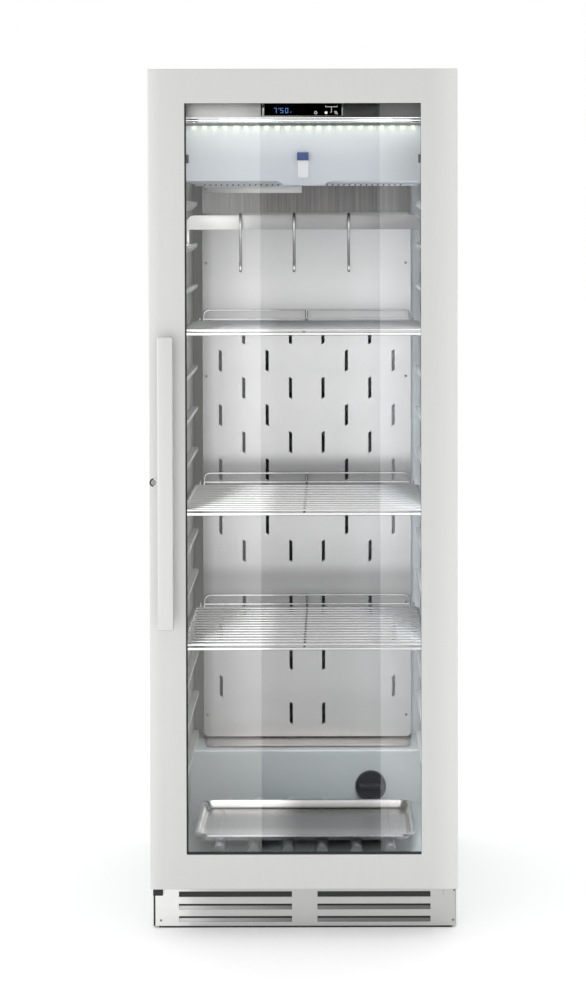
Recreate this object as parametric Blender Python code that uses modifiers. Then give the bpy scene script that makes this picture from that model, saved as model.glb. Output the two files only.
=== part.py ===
"""Upright dry aging cabinet with a framed glass door, hinged on its right side.

Metres, +Z up. The door faces -Y and the origin is at the bottom centre of the cabinet's own box.
"""

import math

import bmesh
import bpy
from mathutils import Matrix, Vector

for leftover in list(bpy.data.objects):
    bpy.data.objects.remove(leftover, do_unlink=True)

# Whole cabinet
CASE_WIDTH = 0.595
CASE_HEIGHT = 1.680
CASE_DEPTH = 0.680
HANDLE_REACH = 0.045
GAP = 0.0003
OVERRUN = 0.012
WELD = 0.00001
SHEET = 0.001
LINER_SHEET = 0.0015
SIDE_RETURN = 0.0175

# Door
DOOR_BOTTOM = 0.096
DOOR_THICK = 0.050
DOOR_GAP = 0.014
STILE = 0.0705
TOP_RAIL = 0.066
BOTTOM_RAIL = 0.068
DOOR_EDGE_ROUND = 0.002
LIP = 0.003
REBATE = 0.015
GASKET_THICK = 0.0024
GASKET_SHOW = 0.003
PANE = 0.004
PANE_SPACE = 0.012
PANE_MARGIN = 0.004
SPACER_WIDTH = 0.010
SEAL_INSET = 0.0255
SEAL_WIDTH = 0.016
SEAL_RISE = 0.021

# Hinges
PIN_INSET = 0.0155
PIN_RADIUS = 0.004
PIN_LENGTH = 0.030
HINGE_PLATE = 0.003
HINGE_HALF_WIDTH = 0.0095
HINGE_NOTCH = 0.012
HINGE_NOTCH_WIDTH = 0.034
HINGE_LEAF = 0.028

# Handle and lock
HANDLE_OFFSET = 0.0195
HANDLE_WIDTH = 0.0305
HANDLE_THICK = 0.014
HANDLE_RISE = 0.511
HANDLE_LENGTH = 0.561
HANDLE_ROUND = 0.004
POST_WIDTH = 0.016
POST_HEIGHT = 0.040
POST_INSET = 0.020
LOCK_INSET = 0.0095
LOCK_RISE = 0.278
LOCK_RADIUS = 0.008
LOCK_PROUD = 0.002
KEY_SLOT_WIDTH = 0.002
KEY_SLOT_HEIGHT = 0.007
CORE_RADIUS = 0.0055
CAM_THICK = 0.003
CAM_LENGTH = 0.012
CAM_WIDTH = 0.008
CAM_OFFSET = 0.004
STRIKE_THICK = 0.002
STRIKE_HEIGHT = 0.014
STRIKE_LIP = 0.005
STRIKE_CLEAR = 0.0007

# Case, liner and insulation
FRONT_FRAME = 0.002
SIDE_WALL = 0.0475
CEILING_WALL = 0.048
FLOOR_RISE = 0.043
FLOOR_WALL = 0.045
REAR_WALL = 0.080
STEP_REACH = 0.145
STEP_RISE = 0.111
BAY_WALL = 0.045
FOAM_GAP = 0.0005

# Ledges pressed into the liner's sides
LEDGE_COUNT = 14
LEDGE_LIFT = 0.018
LEDGE_DROP = 0.2096
LEDGE_REACH = 0.013
LEDGE_HEIGHT = 0.012
LEDGE_SLOPE = 0.008
LEDGE_SET_BACK = 0.009
LEDGE_END_CLEAR = 0.012

# Ribs of the cavity floor
RIB_COUNT = 6
RIB_MARGIN = 0.081
RIB_HALF_WIDTH = 0.013
RIB_HEIGHT = 0.019
RIB_SET_BACK = 0.012
RIB_END_CLEAR = 0.030
RIB_SIDES = 8

# Evaporator housing under the ceiling
HOUSING_HEIGHT = 0.165
HOUSING_MARGIN = 0.004
HOUSING_SET_BACK = 0.049

# Duct panel and the cover above it
DUCT_MARGIN = 0.023
DUCT_SPACE = 0.058
DUCT_LIFT = 0.008
COVER_HEIGHT = 0.0615
COVER_CLEAR = 0.0005
DUCT_CORNER = 0.012
SLOT_WIDTH = 0.0066
SLOT_LENGTH = 0.045
SLOT_SLANT = 0.003
SLOT_FIRST_COLUMN = 0.0355
SLOT_SIDE_MARGIN = 0.0385
SLOT_DROP = 0.2633
SLOT_LIFT = 0.0514
SLOT_ROWS_OF_COLUMN = (
    (0, 2, 4, 6, 8, 10, 12, 14),
    (1, 3, 5, 7),
    (0, 2, 4, 6, 8, 10),
    (1, 3, 5, 7, 11, 13),
)

HALF_WIDTH = CASE_WIDTH / 2
TOTAL_DEPTH = CASE_DEPTH + HANDLE_REACH
CASE_FRONT = DOOR_THICK + DOOR_GAP
BODY_FRONT = CASE_FRONT + FRONT_FRAME
CAVITY_HALF = HALF_WIDTH - SIDE_WALL
CAVITY_TOP = CASE_HEIGHT - CEILING_WALL
CAVITY_FLOOR = DOOR_BOTTOM + FLOOR_RISE
LINER_REAR = CASE_DEPTH - REAR_WALL
STEP_DEPTH = LINER_REAR - STEP_REACH
STEP_HEIGHT = CAVITY_FLOOR + STEP_RISE
DUCT_HALF_WIDTH = CAVITY_HALF - DUCT_MARGIN
DUCT_DEPTH = LINER_REAR - DUCT_SPACE
HOUSING_HALF = CAVITY_HALF - HOUSING_MARGIN
HOUSING_FRONT = BODY_FRONT + HOUSING_SET_BACK
HOUSING_REAR = DUCT_DEPTH - HOUSING_MARGIN
HOUSING_BOTTOM = CAVITY_TOP - HOUSING_HEIGHT
DUCT_BOTTOM = STEP_HEIGHT + DUCT_LIFT
COVER_TOP = HOUSING_BOTTOM - COVER_CLEAR
DUCT_TOP = COVER_TOP - COVER_HEIGHT
LEDGE_FRONT = BODY_FRONT + LEDGE_SET_BACK
LEDGE_REAR = DUCT_DEPTH - LEDGE_END_CLEAR
LEDGE_FIRST = STEP_HEIGHT + LEDGE_LIFT
LEDGE_LAST = CAVITY_TOP - LEDGE_DROP
WINDOW_HALF = HALF_WIDTH - STILE
WINDOW_BOTTOM = DOOR_BOTTOM + BOTTOM_RAIL
WINDOW_TOP = CASE_HEIGHT - TOP_RAIL
HINGE_X = HALF_WIDTH - PIN_INSET
HINGE_DEPTH = DOOR_THICK / 2

ALONG = {
    "X": Matrix(((0, 0, 1), (1, 0, 0), (0, 1, 0))),
    "Y": Matrix(((1, 0, 0), (0, 0, -1), (0, 1, 0))),
    "Z": Matrix.Identity(3),
}

model = bpy.data.collections.new("dry_aging_cabinet")
cutters = bpy.data.collections.new("cutters")
bpy.context.scene.collection.children.link(model)
bpy.context.scene.collection.children.link(cutters)
cutters.hide_render = True


def deep(depth):
    """The y of a plane this far behind the door's front face."""
    return depth + HANDLE_REACH - TOTAL_DEPTH / 2


def finish(name, colour, roughness, metallic):
    """A plain Principled material of one colour."""
    material = bpy.data.materials.get(name)
    if material:
        return material
    material = bpy.data.materials.new(name)
    material.use_nodes = True
    shader = material.node_tree.nodes["Principled BSDF"]
    shader.inputs["Base Color"].default_value = (*colour, 1)
    shader.inputs["Roughness"].default_value = roughness
    shader.inputs["Metallic"].default_value = metallic
    material.diffuse_color = (*colour, 1)
    return material


FINISHES = {
    "steel": ((0.60, 0.60, 0.60), 0.32, 1.0),
    "bright_steel": ((0.75, 0.75, 0.75), 0.15, 1.0),
    "coated_sheet": ((0.62, 0.64, 0.65), 0.45, 0.0),
    "liner": ((0.72, 0.76, 0.78), 0.40, 0.0),
    "foam": ((0.80, 0.76, 0.55), 0.90, 0.0),
    "black_plastic": ((0.02, 0.02, 0.02), 0.40, 0.0),
    "black_metal": ((0.03, 0.03, 0.03), 0.50, 0.0),
    "rubber": ((0.03, 0.03, 0.03), 0.70, 0.0),
    "glass": ((0.80, 0.85, 0.85), 0.02, 0.0),
    "lamp": ((0.95, 0.97, 1.0), 0.30, 0.0),
    "aluminium": ((0.70, 0.70, 0.72), 0.35, 1.0),
}


def add(name, mesh, finish_name=None, place=(0, 0, 0), axis="Z"):
    """Puts a mesh in the scene as a named part, or as a helper when it has no finish.

    A shape made along Z is laid along the given axis first.
    """
    mesh.transform(ALONG[axis].to_4x4())
    piece = bpy.data.objects.new(name, mesh)
    piece.location = place
    if finish_name:
        model.objects.link(piece)
        mesh.materials.append(finish(f"{name}_{finish_name}", *FINISHES[finish_name]))
    else:
        cutters.objects.link(piece)
        piece.hide_render = True
        piece.display_type = "WIRE"
    return piece


def boolean(piece, helper, operation):
    step = piece.modifiers.new(f"{operation.lower()} {helper.name}", "BOOLEAN")
    step.operation = operation
    step.solver = "EXACT"
    step.object = helper
    return piece


def cut(piece, *helpers):
    for helper in helpers:
        boolean(piece, helper, "DIFFERENCE")
    return piece


def join(piece, *helpers):
    for helper in helpers:
        boolean(piece, helper, "UNION")
    return piece


def box(name, x, y, z, finish_name=None):
    """A box between the low and high values of x, y and z."""
    shape = bmesh.new()
    bmesh.ops.create_cube(shape, size=1)
    spans = (x, y, z)
    bmesh.ops.scale(shape, vec=[high - low for low, high in spans], verts=shape.verts)
    mesh = bpy.data.meshes.new(name)
    shape.to_mesh(mesh)
    shape.free()
    return add(name, mesh, finish_name, [(low + high) / 2 for low, high in spans])


def rounded_box(name, x, y, z, radius, finish_name=None, segments=2):
    piece = box(name, x, y, z, finish_name)
    edge = piece.modifiers.new("rounded edges", "BEVEL")
    edge.width = radius
    edge.segments = segments
    return piece


def cylinder(name, radius, start, end, axis, centre, finish_name=None, sides=24):
    """A rod along axis from start to end. centre gives its other two coordinates."""
    shape = bmesh.new()
    bmesh.ops.create_cone(
        shape, cap_ends=True, segments=sides, radius1=radius, radius2=radius, depth=end - start
    )
    mesh = bpy.data.meshes.new(name)
    shape.to_mesh(mesh)
    shape.free()
    mesh.shade_smooth()
    mesh.set_sharp_from_angle(angle=math.radians(40))
    place = list(centre)
    place.insert("XYZ".index(axis), (start + end) / 2)
    return add(name, mesh, finish_name, place, axis)


def rectangle(left, right, bottom, top):
    return [(left, bottom), (right, bottom), (right, top), (left, top)]


def rounded_rectangle(left, right, bottom, top, radius, steps=4):
    """Corner points of a rectangle with round corners, anticlockwise."""
    corners = (
        (right - radius, top - radius),
        (left + radius, top - radius),
        (left + radius, bottom + radius),
        (right - radius, bottom + radius),
    )
    points = []
    for quarter, (across, up) in enumerate(corners):
        for step in range(steps + 1):
            angle = (quarter + step / steps) * math.pi / 2
            points.append((across + radius * math.cos(angle), up + radius * math.sin(angle)))
    return points


def mesh_of_curve(curve):
    """The curve as a welded mesh, with the curve itself removed."""
    guide = bpy.data.objects.new(curve.name, curve)
    bpy.context.scene.collection.objects.link(guide)
    graph = bpy.context.evaluated_depsgraph_get()
    mesh = bpy.data.meshes.new_from_object(guide.evaluated_get(graph))
    bpy.data.objects.remove(guide, do_unlink=True)
    bpy.data.curves.remove(curve)
    shape = bmesh.new()
    shape.from_mesh(mesh)
    bmesh.ops.remove_doubles(shape, verts=shape.verts, dist=WELD)
    bmesh.ops.recalc_face_normals(shape, faces=shape.faces)
    shape.to_mesh(mesh)
    shape.free()
    return mesh


def plate(name, loops, start, end, axis, finish_name=None):
    """A flat outline, its first loop, less the other loops, extruded along axis from start to end.

    A loop's points are (x, z) along Y, (y, z) along X and (x, y) along Z.
    """
    curve = bpy.data.curves.new(name, "CURVE")
    curve.dimensions = "2D"
    curve.fill_mode = "BOTH"
    curve.extrude = (end - start) / 2
    for loop in loops:
        spline = curve.splines.new("POLY")
        spline.points.add(len(loop) - 1)
        for point, (across, up) in zip(spline.points, loop):
            point.co = (across, up, 0, 1)
        spline.use_cyclic_u = True
    place = [0, 0, 0]
    place["XYZ".index(axis)] = (start + end) / 2
    return add(name, mesh_of_curve(curve), finish_name, place, axis)


def wire(name, points, radius, finish_name=None, closed=False, sides=1):
    """A round wire through the points. sides is the curve's bevel resolution."""
    curve = bpy.data.curves.new(name, "CURVE")
    curve.dimensions = "3D"
    curve.bevel_depth = radius
    curve.bevel_resolution = sides
    curve.use_fill_caps = True
    spline = curve.splines.new("POLY")
    spline.points.add(len(points) - 1)
    for point, place in zip(spline.points, points):
        point.co = (*place, 1)
    spline.use_cyclic_u = closed
    mesh = mesh_of_curve(curve)
    mesh.shade_smooth()
    mesh.set_sharp_from_angle(angle=math.radians(70))
    return add(name, mesh, finish_name)


def turned(name, profile, place, finish_name=None, forward=False, sides=24):
    """A profile of (radius, height) points, listed from the top down, turned about Z.

    With forward the turned shape is laid down, so that its top faces the front.
    """
    mesh = bpy.data.meshes.new(name)
    points = [(radius, 0, height) for radius, height in profile]
    mesh.from_pydata(points, [(n, n + 1) for n in range(len(points) - 1)], [])
    piece = add(name, mesh, finish_name, place)
    if forward:
        piece.rotation_euler.x = math.pi / 2
    spin = piece.modifiers.new("turned", "SCREW")
    spin.steps = sides
    spin.render_steps = sides
    spin.use_merge_vertices = True
    spin.merge_threshold = WELD
    spin.use_smooth_shade = False
    return piece


def carried_by(name, place, *pieces):
    """Hangs the pieces on an empty that sits on their joint's axis."""
    pivot = bpy.data.objects.new(name, None)
    model.objects.link(pivot)
    pivot.location = place
    for piece in pieces:
        piece.parent = pivot
        piece.matrix_parent_inverse = Matrix.Translation(-Vector(place))
    return pivot


# Outer case: two folded side sheets, a top sheet, a rear sheet and the front frame that joins them
PLINTH_BOTTOM = 0.004
PLINTH_CLEAR = 0.002
PLINTH_TOP = DOOR_BOTTOM - PLINTH_CLEAR
BAY_TOP = STEP_HEIGHT - BAY_WALL
SIDE_BOTTOM = PLINTH_BOTTOM
CASE_BODY_DEPTHS = (deep(BODY_FRONT + GAP), deep(CASE_DEPTH))
INNER_HALF = HALF_WIDTH - SHEET - GAP


def side_panel(name, side):
    """An L of sheet: the side itself and the return flange behind the rear edge."""
    front, rear = CASE_BODY_DEPTHS
    outer = side * HALF_WIDTH
    inner = side * (HALF_WIDTH - SHEET)
    flange = side * (HALF_WIDTH - SIDE_RETURN)
    loop = [
        (outer, front),
        (outer, rear),
        (flange, rear),
        (flange, rear - SHEET),
        (inner, rear - SHEET),
        (inner, front),
    ]
    return plate(name, [loop], SIDE_BOTTOM, CASE_HEIGHT - SHEET - GAP, "Z", "coated_sheet")


side_panel("side_panel_left", -1)
side_panel("side_panel_right", 1)
box(
    "top_panel",
    (-HALF_WIDTH, HALF_WIDTH),
    CASE_BODY_DEPTHS,
    (CASE_HEIGHT - SHEET, CASE_HEIGHT),
    "coated_sheet",
)
REAR_HALF = HALF_WIDTH - SIDE_RETURN - GAP
REAR_SHEET = (deep(CASE_DEPTH - SHEET), deep(CASE_DEPTH))
REAR_LAP = 0.010
REAR_SPLIT = BAY_TOP + REAR_LAP
box(
    "rear_panel",
    (-REAR_HALF, REAR_HALF),
    REAR_SHEET,
    (REAR_SPLIT, CASE_HEIGHT - SHEET - GAP),
    "coated_sheet",
)
FRONT_FRAME_BOTTOM = PLINTH_TOP + GAP
plate(
    "front_frame",
    [
        rectangle(-HALF_WIDTH, HALF_WIDTH, FRONT_FRAME_BOTTOM, CASE_HEIGHT),
        rectangle(-CAVITY_HALF, CAVITY_HALF, CAVITY_FLOOR, CAVITY_TOP),
    ],
    deep(CASE_FRONT),
    deep(BODY_FRONT),
    "Y",
    "coated_sheet",
)

# Liner: five thin formed walls, with shelf ledges on the sides and ribs on the floor
LINER_FRONT_Y = deep(BODY_FRONT + GAP)
LINER_OUTER_HALF = CAVITY_HALF + LINER_SHEET
LINER_BACK_Y = deep(LINER_REAR)
STEP_Y = deep(STEP_DEPTH)


def ledge_height(level):
    """The middle of the ledge at this level, counted from the lowest."""
    return LEDGE_FIRST + level * (LEDGE_LAST - LEDGE_FIRST) / (LEDGE_COUNT - 1)


def liner_side(name, side):
    outline = [
        (LINER_FRONT_Y, CAVITY_FLOOR + GAP),
        (STEP_Y - GAP, CAVITY_FLOOR + GAP),
        (STEP_Y - GAP, STEP_HEIGHT + GAP),
        (LINER_BACK_Y, STEP_HEIGHT + GAP),
        (LINER_BACK_Y, CAVITY_TOP - GAP),
        (LINER_FRONT_Y, CAVITY_TOP - GAP),
    ]
    wall_x = sorted((side * CAVITY_HALF, side * LINER_OUTER_HALF))
    wall = plate(name, [outline], *wall_x, "X", "liner")
    root = side * (CAVITY_HALF + LINER_SHEET / 2)
    lip = side * (CAVITY_HALF - LEDGE_REACH)
    for level in range(LEDGE_COUNT):
        middle = ledge_height(level)
        top = middle + LEDGE_HEIGHT / 2
        under = middle - LEDGE_HEIGHT / 2
        loop = [(root, top), (lip, top), (lip, under + LEDGE_SLOPE / 2), (root, under - LEDGE_SLOPE)]
        if side > 0:
            loop.reverse()
        join(wall, plate(f"{name} ledge {level}", [loop], deep(LEDGE_FRONT), deep(LEDGE_REAR), "Y"))
    return wall


liner_side("liner_left", -1)
liner_side("liner_right", 1)
box(
    "liner_top",
    (-LINER_OUTER_HALF, LINER_OUTER_HALF),
    (LINER_FRONT_Y, LINER_BACK_Y),
    (CAVITY_TOP, CAVITY_TOP + LINER_SHEET),
    "liner",
)
box(
    "liner_rear",
    (-LINER_OUTER_HALF, LINER_OUTER_HALF),
    (LINER_BACK_Y + GAP, LINER_BACK_Y + GAP + LINER_SHEET),
    (STEP_HEIGHT - LINER_SHEET, CAVITY_TOP + LINER_SHEET),
    "liner",
)

FILTER_X = 0.137
FILTER_RISE = 0.035
FILTER_HEIGHT = CAVITY_FLOOR + FILTER_RISE
FILTER_BORE = 0.0205
SPIGOT_CLEAR = 0.0005
floor_profile = [
    (LINER_FRONT_Y, CAVITY_FLOOR - LINER_SHEET),
    (STEP_Y + LINER_SHEET, CAVITY_FLOOR - LINER_SHEET),
    (STEP_Y + LINER_SHEET, STEP_HEIGHT - LINER_SHEET),
    (LINER_BACK_Y, STEP_HEIGHT - LINER_SHEET),
    (LINER_BACK_Y, STEP_HEIGHT),
    (STEP_Y, STEP_HEIGHT),
    (STEP_Y, CAVITY_FLOOR),
    (LINER_FRONT_Y, CAVITY_FLOOR),
]
liner_floor = plate(
    "liner_floor", [floor_profile], -LINER_OUTER_HALF, LINER_OUTER_HALF, "X", "liner"
)
rib_half_span = CAVITY_HALF - RIB_MARGIN
rib_y = (deep(BODY_FRONT + RIB_SET_BACK), deep(STEP_DEPTH - RIB_END_CLEAR))
for rib in range(RIB_COUNT):
    middle = rib_half_span * (2 * rib / (RIB_COUNT - 1) - 1)
    arch = [(middle + RIB_HALF_WIDTH, CAVITY_FLOOR - LINER_SHEET / 2)]
    for step in range(RIB_SIDES + 1):
        angle = math.pi * step / RIB_SIDES
        arch.append(
            (
                middle + RIB_HALF_WIDTH * math.cos(angle),
                CAVITY_FLOOR + RIB_HEIGHT * math.sin(angle),
            )
        )
    arch.append((middle - RIB_HALF_WIDTH, CAVITY_FLOOR - LINER_SHEET / 2))
    join(liner_floor, plate(f"floor rib {rib}", [arch], *rib_y, "Y"))
filter_hole = cylinder(
    "filter hole",
    FILTER_BORE + SPIGOT_CLEAR,
    STEP_Y - OVERRUN,
    STEP_Y + OVERRUN,
    "Y",
    (FILTER_X, FILTER_HEIGHT),
)
cut(liner_floor, filter_hole)

# Insulation: one foamed body round the liner, with the machine bay left free behind the step
FOAM_HALF = INNER_HALF - FOAM_GAP
FOAM_BOTTOM = CAVITY_FLOOR - FLOOR_WALL
BAY_DEPTH = STEP_DEPTH + BAY_WALL
CAVITY_CUT_HALF = LINER_OUTER_HALF + FOAM_GAP
SPIGOT_LENGTH = 0.020
insulation = box(
    "insulation",
    (-FOAM_HALF, FOAM_HALF),
    (LINER_FRONT_Y, deep(CASE_DEPTH - SHEET - FOAM_GAP)),
    (FOAM_BOTTOM, CASE_HEIGHT - SHEET - FOAM_GAP),
    "foam",
)
cut(
    insulation,
    box(
        "cavity space",
        (-CAVITY_CUT_HALF, CAVITY_CUT_HALF),
        (LINER_FRONT_Y - OVERRUN, LINER_BACK_Y + GAP + LINER_SHEET + FOAM_GAP),
        (STEP_HEIGHT - LINER_SHEET - FOAM_GAP, CAVITY_TOP + LINER_SHEET + FOAM_GAP),
    ),
    box(
        "lower cavity space",
        (-CAVITY_CUT_HALF, CAVITY_CUT_HALF),
        (LINER_FRONT_Y - OVERRUN, STEP_Y + LINER_SHEET + FOAM_GAP),
        (CAVITY_FLOOR - LINER_SHEET - FOAM_GAP, STEP_HEIGHT + OVERRUN),
    ),
    box(
        "machine bay space",
        (-HALF_WIDTH - OVERRUN, HALF_WIDTH + OVERRUN),
        (deep(BAY_DEPTH), deep(CASE_DEPTH) + OVERRUN),
        (FOAM_BOTTOM - OVERRUN, BAY_TOP),
    ),
    cylinder(
        "spigot pocket",
        FILTER_BORE + SPIGOT_CLEAR,
        STEP_Y - OVERRUN,
        STEP_Y + SPIGOT_LENGTH + OVERRUN,
        "Y",
        (FILTER_X, FILTER_HEIGHT),
    ),
)

# Duct panel: a sheet with two side flanges, and mirrored columns of slots with slanted ends
DUCT_FLANGE_REAR = LINER_BACK_Y - GAP


def duct_slots():
    """One cutter for all slots: boxes whose ends slant towards the panel's middle."""
    shape = bmesh.new()
    size = (SLOT_WIDTH, LINER_SHEET + OVERRUN, SLOT_LENGTH)
    last_column = DUCT_HALF_WIDTH - SLOT_SIDE_MARGIN
    spacing = (last_column - SLOT_FIRST_COLUMN) / (len(SLOT_ROWS_OF_COLUMN) - 1)
    top = DUCT_TOP - SLOT_DROP
    drop = (top - DUCT_BOTTOM - SLOT_LIFT) / max(max(rows) for rows in SLOT_ROWS_OF_COLUMN)
    for number, rows in enumerate(SLOT_ROWS_OF_COLUMN):
        column = SLOT_FIRST_COLUMN + number * spacing
        for row in rows:
            for side in (-1, 1):
                made = bmesh.ops.create_cube(shape, size=1)["verts"]
                bmesh.ops.scale(shape, vec=size, verts=made)
                for vert in made:
                    vert.co.z -= side * math.copysign(SLOT_SLANT, vert.co.x)
                middle = (side * column, deep(DUCT_DEPTH), top - row * drop)
                bmesh.ops.translate(shape, vec=middle, verts=made)
    mesh = bpy.data.meshes.new("duct slots")
    shape.to_mesh(mesh)
    shape.free()
    return add("duct slots", mesh)


def flanged_panel(name, outline, bottom, top):
    """A panel across the cavity's back with a flange on each side that reaches the liner."""
    face_y = (deep(DUCT_DEPTH), deep(DUCT_DEPTH) + LINER_SHEET)
    panel = plate(name, [outline], *face_y, "Y", "steel")
    for side in (-1, 1):
        outer = DUCT_HALF_WIDTH - GAP
        across = sorted((side * (outer - LINER_SHEET), side * outer))
        flange = box(
            f"{name} flange {side}",
            across,
            (face_y[0] + LINER_SHEET / 2, DUCT_FLANGE_REAR),
            (bottom + DUCT_CORNER, top - DUCT_CORNER),
        )
        join(panel, flange)
    return panel


duct_outline = rounded_rectangle(
    -DUCT_HALF_WIDTH, DUCT_HALF_WIDTH, DUCT_BOTTOM, DUCT_TOP, DUCT_CORNER
)
cut(flanged_panel("rear_duct_panel", duct_outline, DUCT_BOTTOM, DUCT_TOP), duct_slots())

cover_outline = rectangle(-DUCT_HALF_WIDTH, DUCT_HALF_WIDTH, DUCT_TOP + GAP, COVER_TOP)
flanged_panel("fan_cover_panel", cover_outline, DUCT_TOP + GAP, COVER_TOP)

# Evaporator housing under the ceiling: front, two sides and a perforated underside with a centre tab
TAB_HALF = 0.0525
TAB_DROP = 0.008
TAB_SLOPE = 0.014
HOLE_RADIUS = 0.004
HOLE_SIDE_MARGIN = 0.04655
HOLE_COLUMNS = 12
HOLE_ROWS = 2
HOLE_FIRST_X = 0.058
HOLE_SET_FORWARD = 0.153
HOLE_ROW_SPACING = 0.018
HOLE_SIDES = 6
housing_top = CAVITY_TOP - GAP
housing = box(
    "evaporator_housing",
    (-HOUSING_HALF, HOUSING_HALF),
    (deep(HOUSING_FRONT), deep(HOUSING_REAR)),
    (HOUSING_BOTTOM, housing_top),
    "coated_sheet",
)
cut(
    housing,
    box(
        "housing inside",
        (-HOUSING_HALF + LINER_SHEET, HOUSING_HALF - LINER_SHEET),
        (deep(HOUSING_FRONT) + LINER_SHEET, deep(HOUSING_REAR) + OVERRUN),
        (HOUSING_BOTTOM + LINER_SHEET, housing_top + OVERRUN),
    ),
)
tab_loop = [
    (-TAB_HALF, HOUSING_BOTTOM + LINER_SHEET / 2),
    (-TAB_HALF, HOUSING_BOTTOM),
    (-TAB_HALF + TAB_SLOPE, HOUSING_BOTTOM - TAB_DROP),
    (TAB_HALF - TAB_SLOPE, HOUSING_BOTTOM - TAB_DROP),
    (TAB_HALF, HOUSING_BOTTOM),
    (TAB_HALF, HOUSING_BOTTOM + LINER_SHEET / 2),
]
join(
    housing,
    plate(
        "housing tab",
        [tab_loop],
        deep(HOUSING_FRONT) + GAP,
        deep(HOUSING_FRONT) + LINER_SHEET - GAP,
        "Y",
    ),
)


def housing_holes():
    shape = bmesh.new()
    span = HOUSING_HALF - HOLE_SIDE_MARGIN - HOLE_FIRST_X
    spacing = span / (HOLE_COLUMNS - 1 / 2)
    first_row = HOUSING_REAR - HOLE_SET_FORWARD
    for side in (-1, 1):
        for column in range(HOLE_COLUMNS):
            for row in range(HOLE_ROWS):
                made = bmesh.ops.create_cone(
                    shape,
                    cap_ends=True,
                    segments=HOLE_SIDES,
                    radius1=HOLE_RADIUS,
                    radius2=HOLE_RADIUS,
                    depth=LINER_SHEET + OVERRUN,
                )["verts"]
                across = side * (HOLE_FIRST_X + (column + row / 2) * spacing)
                middle = (across, deep(first_row + row * HOLE_ROW_SPACING), HOUSING_BOTTOM)
                bmesh.ops.translate(shape, vec=middle, verts=made)
    mesh = bpy.data.meshes.new("housing holes")
    shape.to_mesh(mesh)
    shape.free()
    return add("housing holes", mesh)


cut(housing, housing_holes())

SENSOR_X = -0.0012
SENSOR_HALF_WIDTH = 0.0115
SENSOR_LIFT = 0.0055
SENSOR_HEIGHT = 0.0505
SENSOR_THICK = 0.009
SENSOR_ROUND = 0.0025
sensor_bottom = HOUSING_BOTTOM + SENSOR_LIFT
rounded_box(
    "humidity_sensor",
    (SENSOR_X - SENSOR_HALF_WIDTH, SENSOR_X + SENSOR_HALF_WIDTH),
    (deep(HOUSING_FRONT) - GAP - SENSOR_THICK, deep(HOUSING_FRONT) - GAP),
    (sensor_bottom, sensor_bottom + SENSOR_HEIGHT),
    SENSOR_ROUND,
    "coated_sheet",
)

# Coil and fan inside the housing
COIL_MARGIN = 0.041
COIL_SET_BACK = 0.095
COIL_FAN_SPACE = 0.040
FAN_CLEAR = 0.088
COIL_HEIGHT = 0.090
COIL_FINS = 12
COIL_FIN_CUT = 0.012
COIL_CORE = 0.030
housing_floor = HOUSING_BOTTOM + LINER_SHEET + GAP
FAN_DEPTH = HOUSING_REAR - FAN_CLEAR
COIL_HALF = HOUSING_HALF - COIL_MARGIN
COIL_FRONT = HOUSING_FRONT + COIL_SET_BACK
COIL_REAR = FAN_DEPTH - COIL_FAN_SPACE
coil = box(
    "evaporator_coil",
    (-COIL_HALF, COIL_HALF),
    (deep(COIL_FRONT), deep(COIL_REAR)),
    (housing_floor, housing_floor + COIL_HEIGHT),
    "aluminium",
)


def fin_cutter(name, half_width, y, z, count, width):
    """Grooves side by side along x, which leave fins between them."""
    shape = bmesh.new()
    pitch = 2 * half_width / count
    for groove in range(count):
        made = bmesh.ops.create_cube(shape, size=1)["verts"]
        bmesh.ops.scale(shape, vec=(width, y[1] - y[0], z[1] - z[0]), verts=made)
        middle = ((groove + 1 / 2) * pitch - half_width, (y[0] + y[1]) / 2, (z[0] + z[1]) / 2)
        bmesh.ops.translate(shape, vec=middle, verts=made)
    mesh = bpy.data.meshes.new(name)
    shape.to_mesh(mesh)
    shape.free()
    return add(name, mesh)


cut(
    coil,
    fin_cutter(
        "coil grooves",
        COIL_HALF,
        (deep(COIL_FRONT) - OVERRUN, deep(COIL_REAR) + OVERRUN),
        (housing_floor + COIL_CORE, housing_floor + COIL_HEIGHT + OVERRUN),
        COIL_FINS,
        COIL_FIN_CUT,
    ),
)

BLADE_COUNT = 5
BLADE_TILT = math.radians(32)
BLADE_THICK = 0.0015
SHAFT_RADIUS = 0.003
SHAFT_CLEAR = 0.0005
FAN_HUB_SHARE = 0.36
FAN_BLADE_SHARE = 0.38
FAN_TIP_CLEAR = 0.003
FAN_STRUT = 0.004
FAN_MOTOR = 0.026
FAN_HUB = 0.018


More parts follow.
